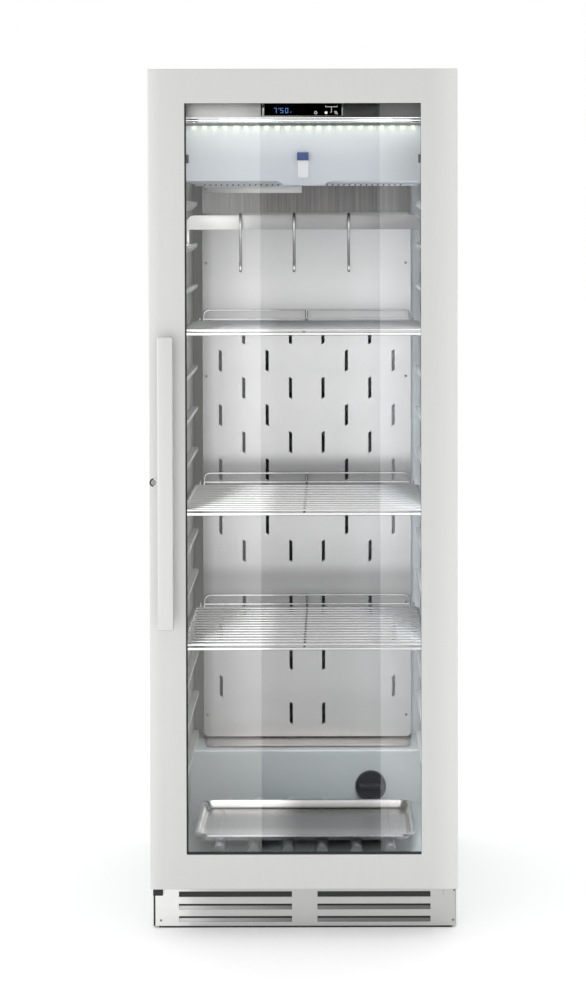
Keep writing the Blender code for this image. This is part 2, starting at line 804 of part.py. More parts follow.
def fan_set(fan_name, bracket_name, centre, bracket_depth, plate_size, blade_radius):
    """A bladed fan in front of a bracket plate. The bracket holds the motor and its shaft."""
    middle_x, middle_z = centre
    half_width, bottom, top = plate_size
    hub_radius = blade_radius * FAN_HUB_SHARE
    face = deep(bracket_depth)
    bracket = plate(
        bracket_name,
        [rectangle(middle_x - half_width, middle_x + half_width, bottom, top)],
        face,
        face + LINER_SHEET,
        "Y",
        "black_metal",
    )
    cut(
        bracket,
        cylinder(
            f"{bracket_name} opening",
            blade_radius + FAN_TIP_CLEAR,
            face - OVERRUN,
            face + OVERRUN,
            "Y",
            centre,
        ),
    )
    strut = (face + LINER_SHEET / 2, face + LINER_SHEET + FAN_STRUT)
    join(
        bracket,
        box(
            f"{bracket_name} strut",
            (middle_x - half_width, middle_x + half_width),
            strut,
            (middle_z - FAN_STRUT, middle_z + FAN_STRUT),
        ),
        cylinder(f"{bracket_name} motor", hub_radius, face, face + FAN_MOTOR, "Y", centre),
        cylinder(
            f"{bracket_name} shaft", SHAFT_RADIUS, face - FAN_HUB / 2, face + FAN_STRUT, "Y", centre
        ),
    )
    hub = (face - GAP - FAN_HUB, face - GAP)
    fan = cylinder(fan_name, hub_radius, *hub, "Y", centre, "black_plastic")
    blade_length = blade_radius - hub_radius / 2
    for number in range(BLADE_COUNT):
        around = 2 * math.pi * number / BLADE_COUNT
        blade = box(
            f"{fan_name} blade {number}",
            (-BLADE_THICK / 2, BLADE_THICK / 2),
            (-FAN_HUB * FAN_BLADE_SHARE, FAN_HUB * FAN_BLADE_SHARE),
            (0, blade_length),
        )
        turn = Matrix.Rotation(around, 4, "Y")
        tilt = Matrix.Rotation(BLADE_TILT, 4, "Z")
        lift = Matrix.Translation((0, 0, hub_radius / 2 + blade_length / 2))
        spot = Matrix.Translation((middle_x, (hub[0] + hub[1]) / 2, middle_z))
        blade.matrix_world = spot @ turn @ lift @ tilt
        join(fan, blade)
    bore = cylinder(
        f"{fan_name} bore",
        SHAFT_RADIUS + SHAFT_CLEAR,
        face - FAN_HUB / 2 - GAP,
        face + OVERRUN,
        "Y",
        centre,
    )
    cut(fan, bore)
    carried_by(f"{fan_name} axis", (middle_x, face, middle_z), fan)
    return fan


FAN_RADIUS = 0.046
FAN_PLATE_HALF = 0.075
FAN_PLATE_DROP = 0.057
fan_plate_top = CAVITY_TOP - FAN_PLATE_DROP
evaporator_fan_centre = (0, (housing_floor + fan_plate_top) / 2)
fan_set(
    "evaporator_fan",
    "fan_bracket",
    evaporator_fan_centre,
    FAN_DEPTH,
    (FAN_PLATE_HALF, housing_floor, fan_plate_top),
    FAN_RADIUS,
)

# Lamp profile under the ceiling, the control fascia above it and its display
LAMP_SET_BACK = 0.012
LAMP_FIT = 0.0005
LAMP_DROP = 0.051
LAMP_HEIGHT = 0.009
LAMP_WALL = 0.0012
LAMP_MARGIN = 0.003
STRIP_WIDTH = 0.010
STRIP_THICK = 0.002
LAMP_HALF = CAVITY_HALF - LAMP_MARGIN
LAMP_FRONT = BODY_FRONT + LAMP_SET_BACK
LAMP_REAR = HOUSING_FRONT - LAMP_FIT
LAMP_BOTTOM = CAVITY_TOP - LAMP_DROP
lamp_top = LAMP_BOTTOM + LAMP_HEIGHT
lamp_profile = [
    (deep(LAMP_FRONT), LAMP_BOTTOM),
    (deep(LAMP_FRONT) + LAMP_WALL, LAMP_BOTTOM),
    (deep(LAMP_FRONT) + LAMP_WALL, lamp_top - LAMP_WALL),
    (deep(LAMP_REAR), lamp_top - LAMP_WALL),
    (deep(LAMP_REAR), lamp_top),
    (deep(LAMP_FRONT), lamp_top),
]
plate("lamp_profile", [lamp_profile], -LAMP_HALF, LAMP_HALF, "X", "aluminium")
strip_y = deep(LAMP_REAR) - STRIP_WIDTH
box(
    "lamp_strip",
    (-LAMP_HALF + LAMP_MARGIN, LAMP_HALF - LAMP_MARGIN),
    (strip_y - STRIP_WIDTH, strip_y),
    (lamp_top - LAMP_WALL - GAP - STRIP_THICK, lamp_top - LAMP_WALL - GAP),
    "lamp",
)

FASCIA_SET_BACK = 0.004
FASCIA_FIT = 0.003
DISPLAY_HALF = 0.0755
DISPLAY_LIFT = 0.0125
DISPLAY_DROP = 0.010
DISPLAY_THICK = 0.006
DISPLAY_PROUD = 0.0005
FASCIA_FRONT = BODY_FRONT + FASCIA_SET_BACK
FASCIA_REAR = HOUSING_FRONT - FASCIA_FIT
DISPLAY_BOTTOM = LAMP_BOTTOM + DISPLAY_LIFT
DISPLAY_TOP = CAVITY_TOP - DISPLAY_DROP
fascia_bottom = lamp_top + GAP
fascia_top = CAVITY_TOP - GAP
fascia_profile = [
    (deep(FASCIA_FRONT), fascia_bottom),
    (deep(FASCIA_REAR), fascia_bottom),
    (deep(FASCIA_REAR), fascia_bottom + LINER_SHEET),
    (deep(FASCIA_FRONT) + LINER_SHEET, fascia_bottom + LINER_SHEET),
    (deep(FASCIA_FRONT) + LINER_SHEET, fascia_top - LINER_SHEET),
    (deep(FASCIA_REAR), fascia_top - LINER_SHEET),
    (deep(FASCIA_REAR), fascia_top),
    (deep(FASCIA_FRONT), fascia_top),
]
fascia = plate("control_fascia", [fascia_profile], -LAMP_HALF, LAMP_HALF, "X", "steel")
display_y = deep(FASCIA_FRONT) - DISPLAY_PROUD
cut(
    fascia,
    box(
        "display hole",
        (-DISPLAY_HALF - GAP, DISPLAY_HALF + GAP),
        (deep(FASCIA_FRONT) - OVERRUN, deep(FASCIA_FRONT) + LINER_SHEET + GAP),
        (DISPLAY_BOTTOM - GAP, DISPLAY_TOP + GAP),
    ),
)
rounded_box(
    "control_display",
    (-DISPLAY_HALF, DISPLAY_HALF),
    (display_y, display_y + DISPLAY_THICK),
    (DISPLAY_BOTTOM, DISPLAY_TOP),
    DISPLAY_PROUD,
    "black_plastic",
    segments=1,
)

# Base frame: a folded floor of the machine bay, with a hole for each foot's thread
BASE_BOTTOM = 0.010
BASE_RIM = 0.022
BASE_SHEET = 0.002
BASE_HALF = INNER_HALF - GAP
BASE_REAR = CASE_DEPTH - SHEET - GAP
FOOT_INSET = 0.0355
FOOT_FRONT_SPACE = 0.046
FOOT_REAR_SPACE = 0.050
THREAD_RADIUS = 0.005
THREAD_CLEAR = 0.0004
PLINTH_SHEET = 0.0015
BLADE_REACH = 0.009
base_front = CASE_FRONT + PLINTH_SHEET + BLADE_REACH + GAP
base_frame = box(
    "base_frame",
    (-BASE_HALF, BASE_HALF),
    (deep(base_front), deep(BASE_REAR)),
    (BASE_BOTTOM, BASE_BOTTOM + BASE_RIM),
    "black_metal",
)
cut(
    base_frame,
    box(
        "base inside",
        (-BASE_HALF + BASE_SHEET, BASE_HALF - BASE_SHEET),
        (deep(base_front) + BASE_SHEET, deep(BASE_REAR) - BASE_SHEET),
        (BASE_BOTTOM + BASE_SHEET, BASE_BOTTOM + BASE_RIM + OVERRUN),
    ),
)

FOOT_PAD = 0.019
FOOT_PAD_TOP = 0.015
FOOT_PAD_HEIGHT = 0.007
FOOT_SHOULDER = 0.009
FOOT_STEM = 0.006
foot_rest = BASE_BOTTOM - GAP
foot_x = HALF_WIDTH - FOOT_INSET
foot_depths = (CASE_FRONT + FOOT_FRONT_SPACE, CASE_DEPTH - FOOT_REAR_SPACE)
foot_profile = [
    (0, BASE_BOTTOM + BASE_SHEET + FOOT_STEM),
    (THREAD_RADIUS, BASE_BOTTOM + BASE_SHEET + FOOT_STEM),
    (THREAD_RADIUS, foot_rest),
    (FOOT_SHOULDER, foot_rest),
    (FOOT_SHOULDER, FOOT_PAD_HEIGHT),
    (FOOT_PAD_TOP, FOOT_PAD_HEIGHT),
    (FOOT_PAD, FOOT_PAD_HEIGHT / 2),
    (FOOT_PAD, 0),
    (0, 0),
]
for side, side_name in ((-1, "left"), (1, "right")):
    for depth, end_name in zip(foot_depths, ("front", "rear")):
        spot = (side * foot_x, deep(depth), 0)
        hole = cylinder(
            f"{side_name} {end_name} foot hole",
            THREAD_RADIUS + THREAD_CLEAR,
            BASE_BOTTOM - OVERRUN,
            BASE_BOTTOM + OVERRUN,
            "Z",
            spot[:2],
            sides=16,
        )
        cut(base_frame, hole)
        turned(f"foot_{end_name}_{side_name}", foot_profile, spot, "black_plastic", sides=16)

# Plinth: a sheet with two columns of long slots, each with a sloping louvre blade behind it
PLINTH_SLOT_INNER = 0.025
PLINTH_SLOT_MARGIN = 0.0505
PLINTH_SLOT_HEIGHT = 0.0116
PLINTH_SLOT_FIRST = 0.0173
PLINTH_SLOT_SPACING = 0.0244
PLINTH_SLOT_ROWS = 3
BLADE_RISE = 0.009
BLADE_SHEET = 0.0012
PLINTH_SLOT_OUTER = HALF_WIDTH - PLINTH_SLOT_MARGIN
plinth_front = deep(CASE_FRONT)
plinth_back = plinth_front + PLINTH_SHEET
plinth = box(
    "plinth_grille",
    (-HALF_WIDTH + SHEET + GAP, HALF_WIDTH - SHEET - GAP),
    (plinth_front, plinth_back),
    (PLINTH_BOTTOM, PLINTH_TOP),
    "steel",
)
for side in (-1, 1):
    slot_x = sorted((side * PLINTH_SLOT_INNER, side * PLINTH_SLOT_OUTER))
    for row in range(PLINTH_SLOT_ROWS):
        middle = PLINTH_SLOT_FIRST + row * PLINTH_SLOT_SPACING
        bottom = middle - PLINTH_SLOT_HEIGHT / 2
        top = middle + PLINTH_SLOT_HEIGHT / 2
        cut(
            plinth,
            box(
                f"plinth slot {side} {row}",
                slot_x,
                (plinth_front - OVERRUN, plinth_back + OVERRUN),
                (bottom, top),
            ),
        )
for side in (-1, 1):
    slot_x = (
        min(side * PLINTH_SLOT_INNER, side * PLINTH_SLOT_OUTER) - BLADE_SHEET,
        max(side * PLINTH_SLOT_INNER, side * PLINTH_SLOT_OUTER) + BLADE_SHEET,
    )
    for row in range(PLINTH_SLOT_ROWS):
        root = PLINTH_SLOT_FIRST + row * PLINTH_SLOT_SPACING - PLINTH_SLOT_HEIGHT / 2
        blade = [
            (plinth_front + PLINTH_SHEET / 2, root - BLADE_SHEET),
            (plinth_back, root - BLADE_SHEET),
            (plinth_back + BLADE_REACH, root + BLADE_RISE - BLADE_SHEET),
            (plinth_back + BLADE_REACH, root + BLADE_RISE),
            (plinth_front + PLINTH_SHEET / 2, root + BLADE_SHEET / 2),
        ]
        join(plinth, plate(f"louvre blade {side} {row}", [blade], *slot_x, "X"))

# Hinges: a plate with a leaf on the case, and a pin that stands in the door's edge
TOP_PLATE_Z = CASE_HEIGHT - HINGE_NOTCH / 2
BOTTOM_PLATE_Z = DOOR_BOTTOM - GAP - HINGE_PLATE / 2
hinge_y = deep(HINGE_DEPTH)
leaf_y = (deep(CASE_FRONT) - GAP - HINGE_PLATE, deep(CASE_FRONT) - GAP)


def hinge_bracket(name, middle, up, leaf_z):
    """up is 1 where the pin points up, and -1 where it points down."""
    low = middle - HINGE_PLATE / 2
    high = middle + HINGE_PLATE / 2
    rounding = HINGE_HALF_WIDTH
    loop = [(HINGE_X + HINGE_HALF_WIDTH, leaf_y[0] + GAP), (HINGE_X + rounding, hinge_y)]
    for step in range(1, 8):
        angle = -math.pi * step / 8
        loop.append((HINGE_X + rounding * math.cos(angle), hinge_y + rounding * math.sin(angle)))
    loop += [(HINGE_X - rounding, hinge_y), (HINGE_X - HINGE_HALF_WIDTH, leaf_y[0] + GAP)]
    bracket = box(
        name,
        (HINGE_X - HINGE_HALF_WIDTH, HINGE_X + HINGE_HALF_WIDTH),
        leaf_y,
        leaf_z,
        "black_metal",
    )
    pin_z = sorted((middle, middle + up * PIN_LENGTH))
    join(
        bracket,
        plate(f"{name} plate", [loop], low, high, "Z"),
        cylinder(f"{name} pin", PIN_RADIUS, *pin_z, "Z", (HINGE_X, hinge_y), sides=16),
    )
    return bracket


hinge_bracket(
    "top_hinge_bracket",
    TOP_PLATE_Z,
    -1,
    (TOP_PLATE_Z + HINGE_PLATE / 2 - HINGE_LEAF, TOP_PLATE_Z + HINGE_PLATE / 2 + GAP),
)
hinge_bracket(
    "bottom_hinge_bracket",
    BOTTOM_PLATE_Z,
    1,
    (BOTTOM_PLATE_Z - HINGE_LEAF, BOTTOM_PLATE_Z + HINGE_PLATE / 2 - GAP),
)
PLUG_WIDTH = 0.0195
PLUG_HEIGHT = 0.0295
PLUG_THICK = 0.004
PLUG_ROUND = 0.0012
rounded_box(
    "hinge_hole_plug",
    (-HALF_WIDTH, -HALF_WIDTH + PLUG_WIDTH),
    (deep(CASE_FRONT) - GAP - PLUG_THICK, deep(CASE_FRONT) - GAP),
    (PLINTH_TOP - PLUG_HEIGHT, PLINTH_TOP),
    PLUG_ROUND,
    "black_plastic",
)

# Machine bay: compressor, drip pan on it, condenser with its fan, and the rear grille with the inlet
COMPRESSOR_INSET = 0.1475
COMPRESSOR_CLEAR = 0.024
COMPRESSOR_RADIUS = 0.068
COMPRESSOR_NECK = 0.040
COMPRESSOR_HEIGHT = 0.140
COMPRESSOR_DOME = 0.034
COMPRESSOR_FOOT = 0.006
COMPRESSOR_FOOT_HALF = 0.080
COMPRESSOR_SEAM = 0.003
COMPRESSOR_X = HALF_WIDTH - COMPRESSOR_INSET
COMPRESSOR_DEPTH = BAY_DEPTH + COMPRESSOR_CLEAR + COMPRESSOR_RADIUS
base_floor = BASE_BOTTOM + BASE_SHEET + GAP
dome_top = base_floor + COMPRESSOR_HEIGHT
dome_root = dome_top - COMPRESSOR_DOME
seam = dome_root - COMPRESSOR_DOME
compressor_profile = [
    (0, dome_top),
    (COMPRESSOR_NECK, dome_top - COMPRESSOR_SEAM),
    (COMPRESSOR_RADIUS - COMPRESSOR_SEAM * 2, dome_root),
    (COMPRESSOR_RADIUS - COMPRESSOR_SEAM, seam + COMPRESSOR_SEAM),
    (COMPRESSOR_RADIUS, seam + COMPRESSOR_SEAM),
    (COMPRESSOR_RADIUS, seam),
    (COMPRESSOR_RADIUS - COMPRESSOR_SEAM, seam),
    (COMPRESSOR_RADIUS - COMPRESSOR_SEAM * 3, base_floor + COMPRESSOR_FOOT),
    (COMPRESSOR_NECK, base_floor + COMPRESSOR_FOOT / 2),
    (0, base_floor + COMPRESSOR_FOOT / 2),
]
compressor_spot = (COMPRESSOR_X, deep(COMPRESSOR_DEPTH), 0)
compressor = turned("compressor", compressor_profile, compressor_spot, "black_metal", sides=28)
join(
    compressor,
    box(
        "compressor feet",
        (COMPRESSOR_X - COMPRESSOR_FOOT_HALF, COMPRESSOR_X + COMPRESSOR_FOOT_HALF),
        (
            compressor_spot[1] - COMPRESSOR_NECK,
            compressor_spot[1] + COMPRESSOR_NECK,
        ),
        (base_floor, base_floor + COMPRESSOR_FOOT * 2),
    ),
)
PAN_HALF = 0.062
PAN_HEIGHT = 0.022
PAN_WALL = 0.002
pan_bottom = dome_top + GAP
pan = box(
    "evaporation_pan",
    (COMPRESSOR_X - PAN_HALF, COMPRESSOR_X + PAN_HALF),
    (compressor_spot[1] - PAN_HALF, compressor_spot[1] + PAN_HALF),
    (pan_bottom, pan_bottom + PAN_HEIGHT),
    "black_plastic",
)
cut(
    pan,
    box(
        "pan inside",
        (COMPRESSOR_X - PAN_HALF + PAN_WALL, COMPRESSOR_X + PAN_HALF - PAN_WALL),
        (
            compressor_spot[1] - PAN_HALF + PAN_WALL,
            compressor_spot[1] + PAN_HALF - PAN_WALL,
        ),
        (pan_bottom + PAN_WALL, pan_bottom + PAN_HEIGHT + OVERRUN),
    ),
)

CONDENSER_INSET = 0.1675
CONDENSER_HALF = 0.085
CONDENSER_CLEAR = 0.020
CONDENSER_THICK = 0.045
CONDENSER_HEIGHT = 0.160
CONDENSER_FINS = 14
CONDENSER_FIN_CUT = 0.007
CONDENSER_CORE = 0.016
CONDENSER_X = CONDENSER_INSET - HALF_WIDTH
CONDENSER_FRONT = BAY_DEPTH + CONDENSER_CLEAR
condenser = box(
    "condenser",
    (CONDENSER_X - CONDENSER_HALF, CONDENSER_X + CONDENSER_HALF),
    (deep(CONDENSER_FRONT), deep(CONDENSER_FRONT + CONDENSER_THICK)),
    (base_floor, base_floor + CONDENSER_HEIGHT),
    "aluminium",
)
grooves = fin_cutter(
    "condenser grooves",
    CONDENSER_HALF,
    (deep(CONDENSER_FRONT) - OVERRUN, deep(CONDENSER_FRONT + CONDENSER_THICK) - CONDENSER_CORE),
    (base_floor + CONDENSER_CORE, base_floor + CONDENSER_HEIGHT + OVERRUN),
    CONDENSER_FINS,
    CONDENSER_FIN_CUT,
)
grooves.location.x = CONDENSER_X
cut(condenser, grooves)
CONDENSER_FAN_RADIUS = 0.065
CONDENSER_FAN_SPACE = 0.026
condenser_fan_centre = (CONDENSER_X, base_floor + CONDENSER_HEIGHT / 2)
fan_set(
    "condenser_fan",
    "condenser_shroud",
    condenser_fan_centre,
    CONDENSER_FRONT + CONDENSER_THICK + CONDENSER_FAN_SPACE,
    (CONDENSER_HALF, base_floor, base_floor + CONDENSER_HEIGHT),
    CONDENSER_FAN_RADIUS,
)

INLET_X = -0.020
INLET_HEIGHT = 0.060
INLET_HALF_WIDTH = 0.025
INLET_HALF_HEIGHT = 0.0145
INLET_LENGTH = 0.022
INLET_MOUTH = 0.003
INLET_PIN_DEPTH = 0.016
VENT_HEIGHT = 0.006
VENT_SPACING = 0.014
VENT_COUNT = 9
VENT_FIRST = 0.090
VENT_INNER = 0.040
VENT_MARGIN = 0.0375
grille = box(
    "rear_grille",
    (-REAR_HALF, REAR_HALF),
    REAR_SHEET,
    (BASE_BOTTOM + BASE_RIM + GAP, REAR_SPLIT - GAP),
    "coated_sheet",
)
for side in (-1, 1):
    vent_x = sorted((side * VENT_INNER, side * (HALF_WIDTH - VENT_MARGIN)))
    for row in range(VENT_COUNT):
        low = VENT_FIRST + row * VENT_SPACING
        vent = box(
            f"rear vent {side} {row}",
            vent_x,
            (REAR_SHEET[0] - OVERRUN, REAR_SHEET[1] + OVERRUN),
            (low, low + VENT_HEIGHT),
        )
        cut(grille, vent)
inlet_z = (INLET_HEIGHT - INLET_HALF_HEIGHT, INLET_HEIGHT + INLET_HALF_HEIGHT)
inlet_x = (INLET_X - INLET_HALF_WIDTH, INLET_X + INLET_HALF_WIDTH)
cut(
    grille,
    box(
        "inlet hole",
        (inlet_x[0] - GAP, inlet_x[1] + GAP),
        (REAR_SHEET[0] - OVERRUN, REAR_SHEET[1] + OVERRUN),
        (inlet_z[0] - GAP, inlet_z[1] + GAP),
    ),
)
inlet = rounded_box(
    "power_inlet",
    inlet_x,
    (REAR_SHEET[1] - INLET_LENGTH, REAR_SHEET[1]),
    inlet_z,
    INLET_MOUTH / 3,
    "black_plastic",
)
cut(
    inlet,
    box(
        "inlet mouth",
        (inlet_x[0] + INLET_MOUTH, inlet_x[1] - INLET_MOUTH),
        (REAR_SHEET[1] - INLET_PIN_DEPTH, REAR_SHEET[1] + OVERRUN),
        (inlet_z[0] + INLET_MOUTH, inlet_z[1] - INLET_MOUTH),
    ),
)

# Door: outer frame, inner frame, two panes with their spacer, glazing gasket and magnetic seal
DOOR_Y = (deep(0), deep(DOOR_THICK))
REBATE_HALF = WINDOW_HALF + REBATE
REBATE_BOTTOM = WINDOW_BOTTOM - REBATE
REBATE_TOP = WINDOW_TOP + REBATE
LOCK_X = -HALF_WIDTH + LOCK_INSET
LOCK_HEIGHT = DOOR_BOTTOM + HANDLE_RISE + LOCK_RISE
PIN_HOLE_RADIUS = PIN_RADIUS + GAP
door_frame = rounded_box(
    "door_frame",
    (-HALF_WIDTH, HALF_WIDTH),
    DOOR_Y,
    (DOOR_BOTTOM, CASE_HEIGHT),
    DOOR_EDGE_ROUND,
    "steel",
)
cut(
    door_frame,
    box(
        "window",
        (-WINDOW_HALF, WINDOW_HALF),
        (DOOR_Y[0] - OVERRUN, DOOR_Y[1] + OVERRUN),
        (WINDOW_BOTTOM, WINDOW_TOP),
    ),
    box(
        "rebate",
        (-REBATE_HALF, REBATE_HALF),
        (DOOR_Y[0] + LIP, DOOR_Y[1] + OVERRUN),
        (REBATE_BOTTOM, REBATE_TOP),
    ),
    box(
        "hinge notch",
        (HALF_WIDTH - HINGE_NOTCH_WIDTH, HALF_WIDTH + OVERRUN),
        (DOOR_Y[0] + LIP, DOOR_Y[1] + OVERRUN),
        (CASE_HEIGHT - HINGE_NOTCH, CASE_HEIGHT + OVERRUN),
    ),
    cylinder(
        "top pin hole",
        PIN_HOLE_RADIUS,
        TOP_PLATE_Z - PIN_LENGTH - GAP,
        CASE_HEIGHT + OVERRUN,
        "Z",
        (HINGE_X, hinge_y),
        sides=16,
    ),
    cylinder(
        "bottom pin hole",
        PIN_HOLE_RADIUS,
        DOOR_BOTTOM - OVERRUN,
        BOTTOM_PLATE_Z + PIN_LENGTH + GAP,
        "Z",
        (HINGE_X, hinge_y),
        sides=16,
    ),
    cylinder(
        "lock hole",
        LOCK_RADIUS - LOCK_PROUD / 2 + GAP,
        DOOR_Y[0] - OVERRUN,
        DOOR_Y[1] + OVERRUN,
        "Y",
        (LOCK_X, LOCK_HEIGHT),
    ),
)


def ring(name, inside, outside, y, finish_name):
    """A rectangular ring in the door's plane. Each size is (half width, bottom, top)."""
    loops = [rectangle(-half, half, bottom, top) for half, bottom, top in (outside, inside)]
    return plate(name, loops, *y, "Y", finish_name)


glass_size = (REBATE_HALF - GAP, REBATE_BOTTOM + GAP, REBATE_TOP - GAP)
gasket_y = (DOOR_Y[0] + LIP + GAP, DOOR_Y[0] + LIP + GAP + GASKET_THICK)
outer_pane_y = (gasket_y[1] + GAP, gasket_y[1] + GAP + PANE)
inner_pane_y = (outer_pane_y[1] + PANE_SPACE, outer_pane_y[1] + PANE_SPACE + PANE)
ring(
    "glazing_gasket",
    (WINDOW_HALF - GASKET_SHOW, WINDOW_BOTTOM + GASKET_SHOW, WINDOW_TOP - GASKET_SHOW / 3),
    glass_size,
    gasket_y,
    "rubber",
)
for name, pane_y in (("outer_glass", outer_pane_y), ("inner_glass", inner_pane_y)):
    box(name, (-glass_size[0], glass_size[0]), pane_y, glass_size[1:], "glass")
spacer_outer = (
    glass_size[0] - PANE_MARGIN,
    glass_size[1] + PANE_MARGIN,
    glass_size[2] - PANE_MARGIN,
)
spacer_inner = (
    spacer_outer[0] - SPACER_WIDTH,
    spacer_outer[1] + SPACER_WIDTH,
    spacer_outer[2] - SPACER_WIDTH,
)
ring(
    "glass_spacer",
    spacer_inner,
    spacer_outer,
    (outer_pane_y[1] + GAP, inner_pane_y[0] - GAP),
    "aluminium",
)
ring(
    "door_inner_frame",
    (WINDOW_HALF, WINDOW_BOTTOM, WINDOW_TOP),
    glass_size,
    (inner_pane_y[1] + GAP, DOOR_Y[1]),
    "liner",
)
seal_outer = (HALF_WIDTH - SEAL_INSET, DOOR_BOTTOM + SEAL_RISE, CASE_HEIGHT - SEAL_INSET)
seal_inner = (
    seal_outer[0] - SEAL_WIDTH,
    seal_outer[1] + SEAL_WIDTH,
    seal_outer[2] - SEAL_WIDTH,
)
ring(
    "door_gasket",
    seal_inner,
    seal_outer,
    (DOOR_Y[1] + GAP, deep(CASE_FRONT) - GAP),
    "rubber",
)

# Handle: a flat bar on two posts
HANDLE_BOTTOM = DOOR_BOTTOM + HANDLE_RISE
HANDLE_TOP = HANDLE_BOTTOM + HANDLE_LENGTH
handle_left = -HALF_WIDTH + HANDLE_OFFSET
handle_x = (handle_left, handle_left + HANDLE_WIDTH)
post_middle = handle_left + HANDLE_WIDTH / 2
post_y = (deep(-HANDLE_REACH) + HANDLE_THICK / 2, DOOR_Y[0] - GAP)
handle = rounded_box(
    "handle",
    handle_x,
    (deep(-HANDLE_REACH), deep(-HANDLE_REACH) + HANDLE_THICK),
    (HANDLE_BOTTOM, HANDLE_TOP),
    HANDLE_ROUND,
    "steel",
)
for name, low in (
    ("lower", HANDLE_BOTTOM + POST_INSET),
    ("upper", HANDLE_TOP - POST_INSET - POST_HEIGHT),
):
    post_x = (post_middle - POST_WIDTH / 2, post_middle + POST_WIDTH / 2)
    join(handle, box(f"{name} handle post", post_x, post_y, (low, low + POST_HEIGHT)))

# Lock: a barrel in the door, and a core with a cam that swings behind the strike
lock_centre = (LOCK_X, LOCK_HEIGHT)
face_y = DOOR_Y[0] - LOCK_PROUD
cam_y = (DOOR_Y[1] + CAM_OFFSET, DOOR_Y[1] + CAM_OFFSET + CAM_THICK)
lock_body = cylinder(
    "lock_body", LOCK_RADIUS, face_y, DOOR_Y[0] - GAP, "Y", lock_centre, "bright_steel"
)
join(
    lock_body,
    cylinder(
        "lock barrel",
        LOCK_RADIUS - LOCK_PROUD / 2,
        face_y + LOCK_PROUD / 2,
        DOOR_Y[1],
        "Y",
        lock_centre,
    ),
)
cut(
    lock_body,
    cylinder(
        "lock bore", CORE_RADIUS + GAP, face_y - OVERRUN, DOOR_Y[1] + OVERRUN, "Y", lock_centre
    ),
)
lock_core = cylinder(
    "lock_core", CORE_RADIUS, face_y, cam_y[1] + GAP, "Y", lock_centre, "bright_steel"
)
cam_x = (LOCK_X - CAM_WIDTH / 2, LOCK_X + CAM_WIDTH / 2)
join(lock_core, box("lock cam", cam_x, cam_y, (LOCK_HEIGHT - CAM_LENGTH, LOCK_HEIGHT)))
cut(
    lock_core,
    box(
        "key slot",
        (LOCK_X - KEY_SLOT_WIDTH / 2, LOCK_X + KEY_SLOT_WIDTH / 2),
        (face_y - OVERRUN, face_y + KEY_SLOT_HEIGHT / 2),
        (LOCK_HEIGHT - KEY_SLOT_HEIGHT / 2, LOCK_HEIGHT + KEY_SLOT_HEIGHT / 2),
    ),
)
strike_web = LOCK_X + CAM_LENGTH + STRIKE_CLEAR
lip_y = (cam_y[0] - STRIKE_CLEAR - STRIKE_THICK, cam_y[0] - STRIKE_CLEAR)
base_y = (deep(CASE_FRONT) - GAP - STRIKE_THICK, deep(CASE_FRONT) - GAP)
strike_loop = [
    (strike_web - STRIKE_LIP * 2, base_y[0]),
    (strike_web, base_y[0]),
    (strike_web, lip_y[1]),
    (strike_web - STRIKE_LIP, lip_y[1]),
    (strike_web - STRIKE_LIP, lip_y[0]),
    (strike_web + STRIKE_THICK, lip_y[0]),
    (strike_web + STRIKE_THICK, base_y[1]),
    (strike_web - STRIKE_LIP * 2, base_y[1]),
]
plate(
    "lock_strike",
    [strike_loop],
    LOCK_HEIGHT - STRIKE_HEIGHT / 2,
    LOCK_HEIGHT + STRIKE_HEIGHT / 2,
    "Z",
    "bright_steel",
)

door_pieces = [
    bpy.data.objects[name]
    for name in (
        "door_frame",
        "door_inner_frame",
        "outer_glass",
        "inner_glass",
        "glass_spacer",
        "glazing_gasket",
        "door_gasket",
        "handle",
        "lock_body",
        "lock_core",
    )
]
carried_by("door hinge axis", (HINGE_X, hinge_y, 0), *door_pieces)

# Wire shelves: a frame, cross wires on it, a centre wire, a raised front wire and a rear guard
SHELF_NAMES = ("shelf_top", "shelf_middle", "shelf_bottom")
SHELF_LEVELS = (10, 6, 3)
SHELF_SET_BACK = 0.017
SHELF_REAR_CLEAR = 0.019
SHELF_SIDE_CLEAR = 0.006
FRAME_WIRE = 0.003
CROSS_WIRE = 0.002
CENTRE_WIRE = 0.0025
WELD_DEPTH = 0.0008
CROSS_COUNT = 15
SHELF_CORNER = 0.012
FRONT_WIRE_RISE = 0.0075
FRONT_WIRE_RUN = 0.020
GUARD_INSET = 0.0175
GUARD_HEIGHT = 0.028
GUARD_LOWER = 0.0085
GUARD_CORNER = 0.014
SHELF_FRONT = LEDGE_FRONT + SHELF_SET_BACK
SHELF_DEPTH = DUCT_DEPTH - SHELF_REAR_CLEAR - SHELF_FRONT
shelf_half = CAVITY_HALF - SHELF_SIDE_CLEAR - FRAME_WIRE
GUARD_HALF = shelf_half - GUARD_INSET
shelf_front_y = deep(SHELF_FRONT)
shelf_rear_y = deep(SHELF_FRONT + SHELF_DEPTH)


def baked(piece):
    """The mesh of a piece with its modifiers applied. The piece itself is removed."""
    graph = bpy.context.evaluated_depsgraph_get()
    mesh = bpy.data.meshes.new_from_object(piece.evaluated_get(graph))
    bpy.data.objects.remove(piece, do_unlink=True)
    return mesh


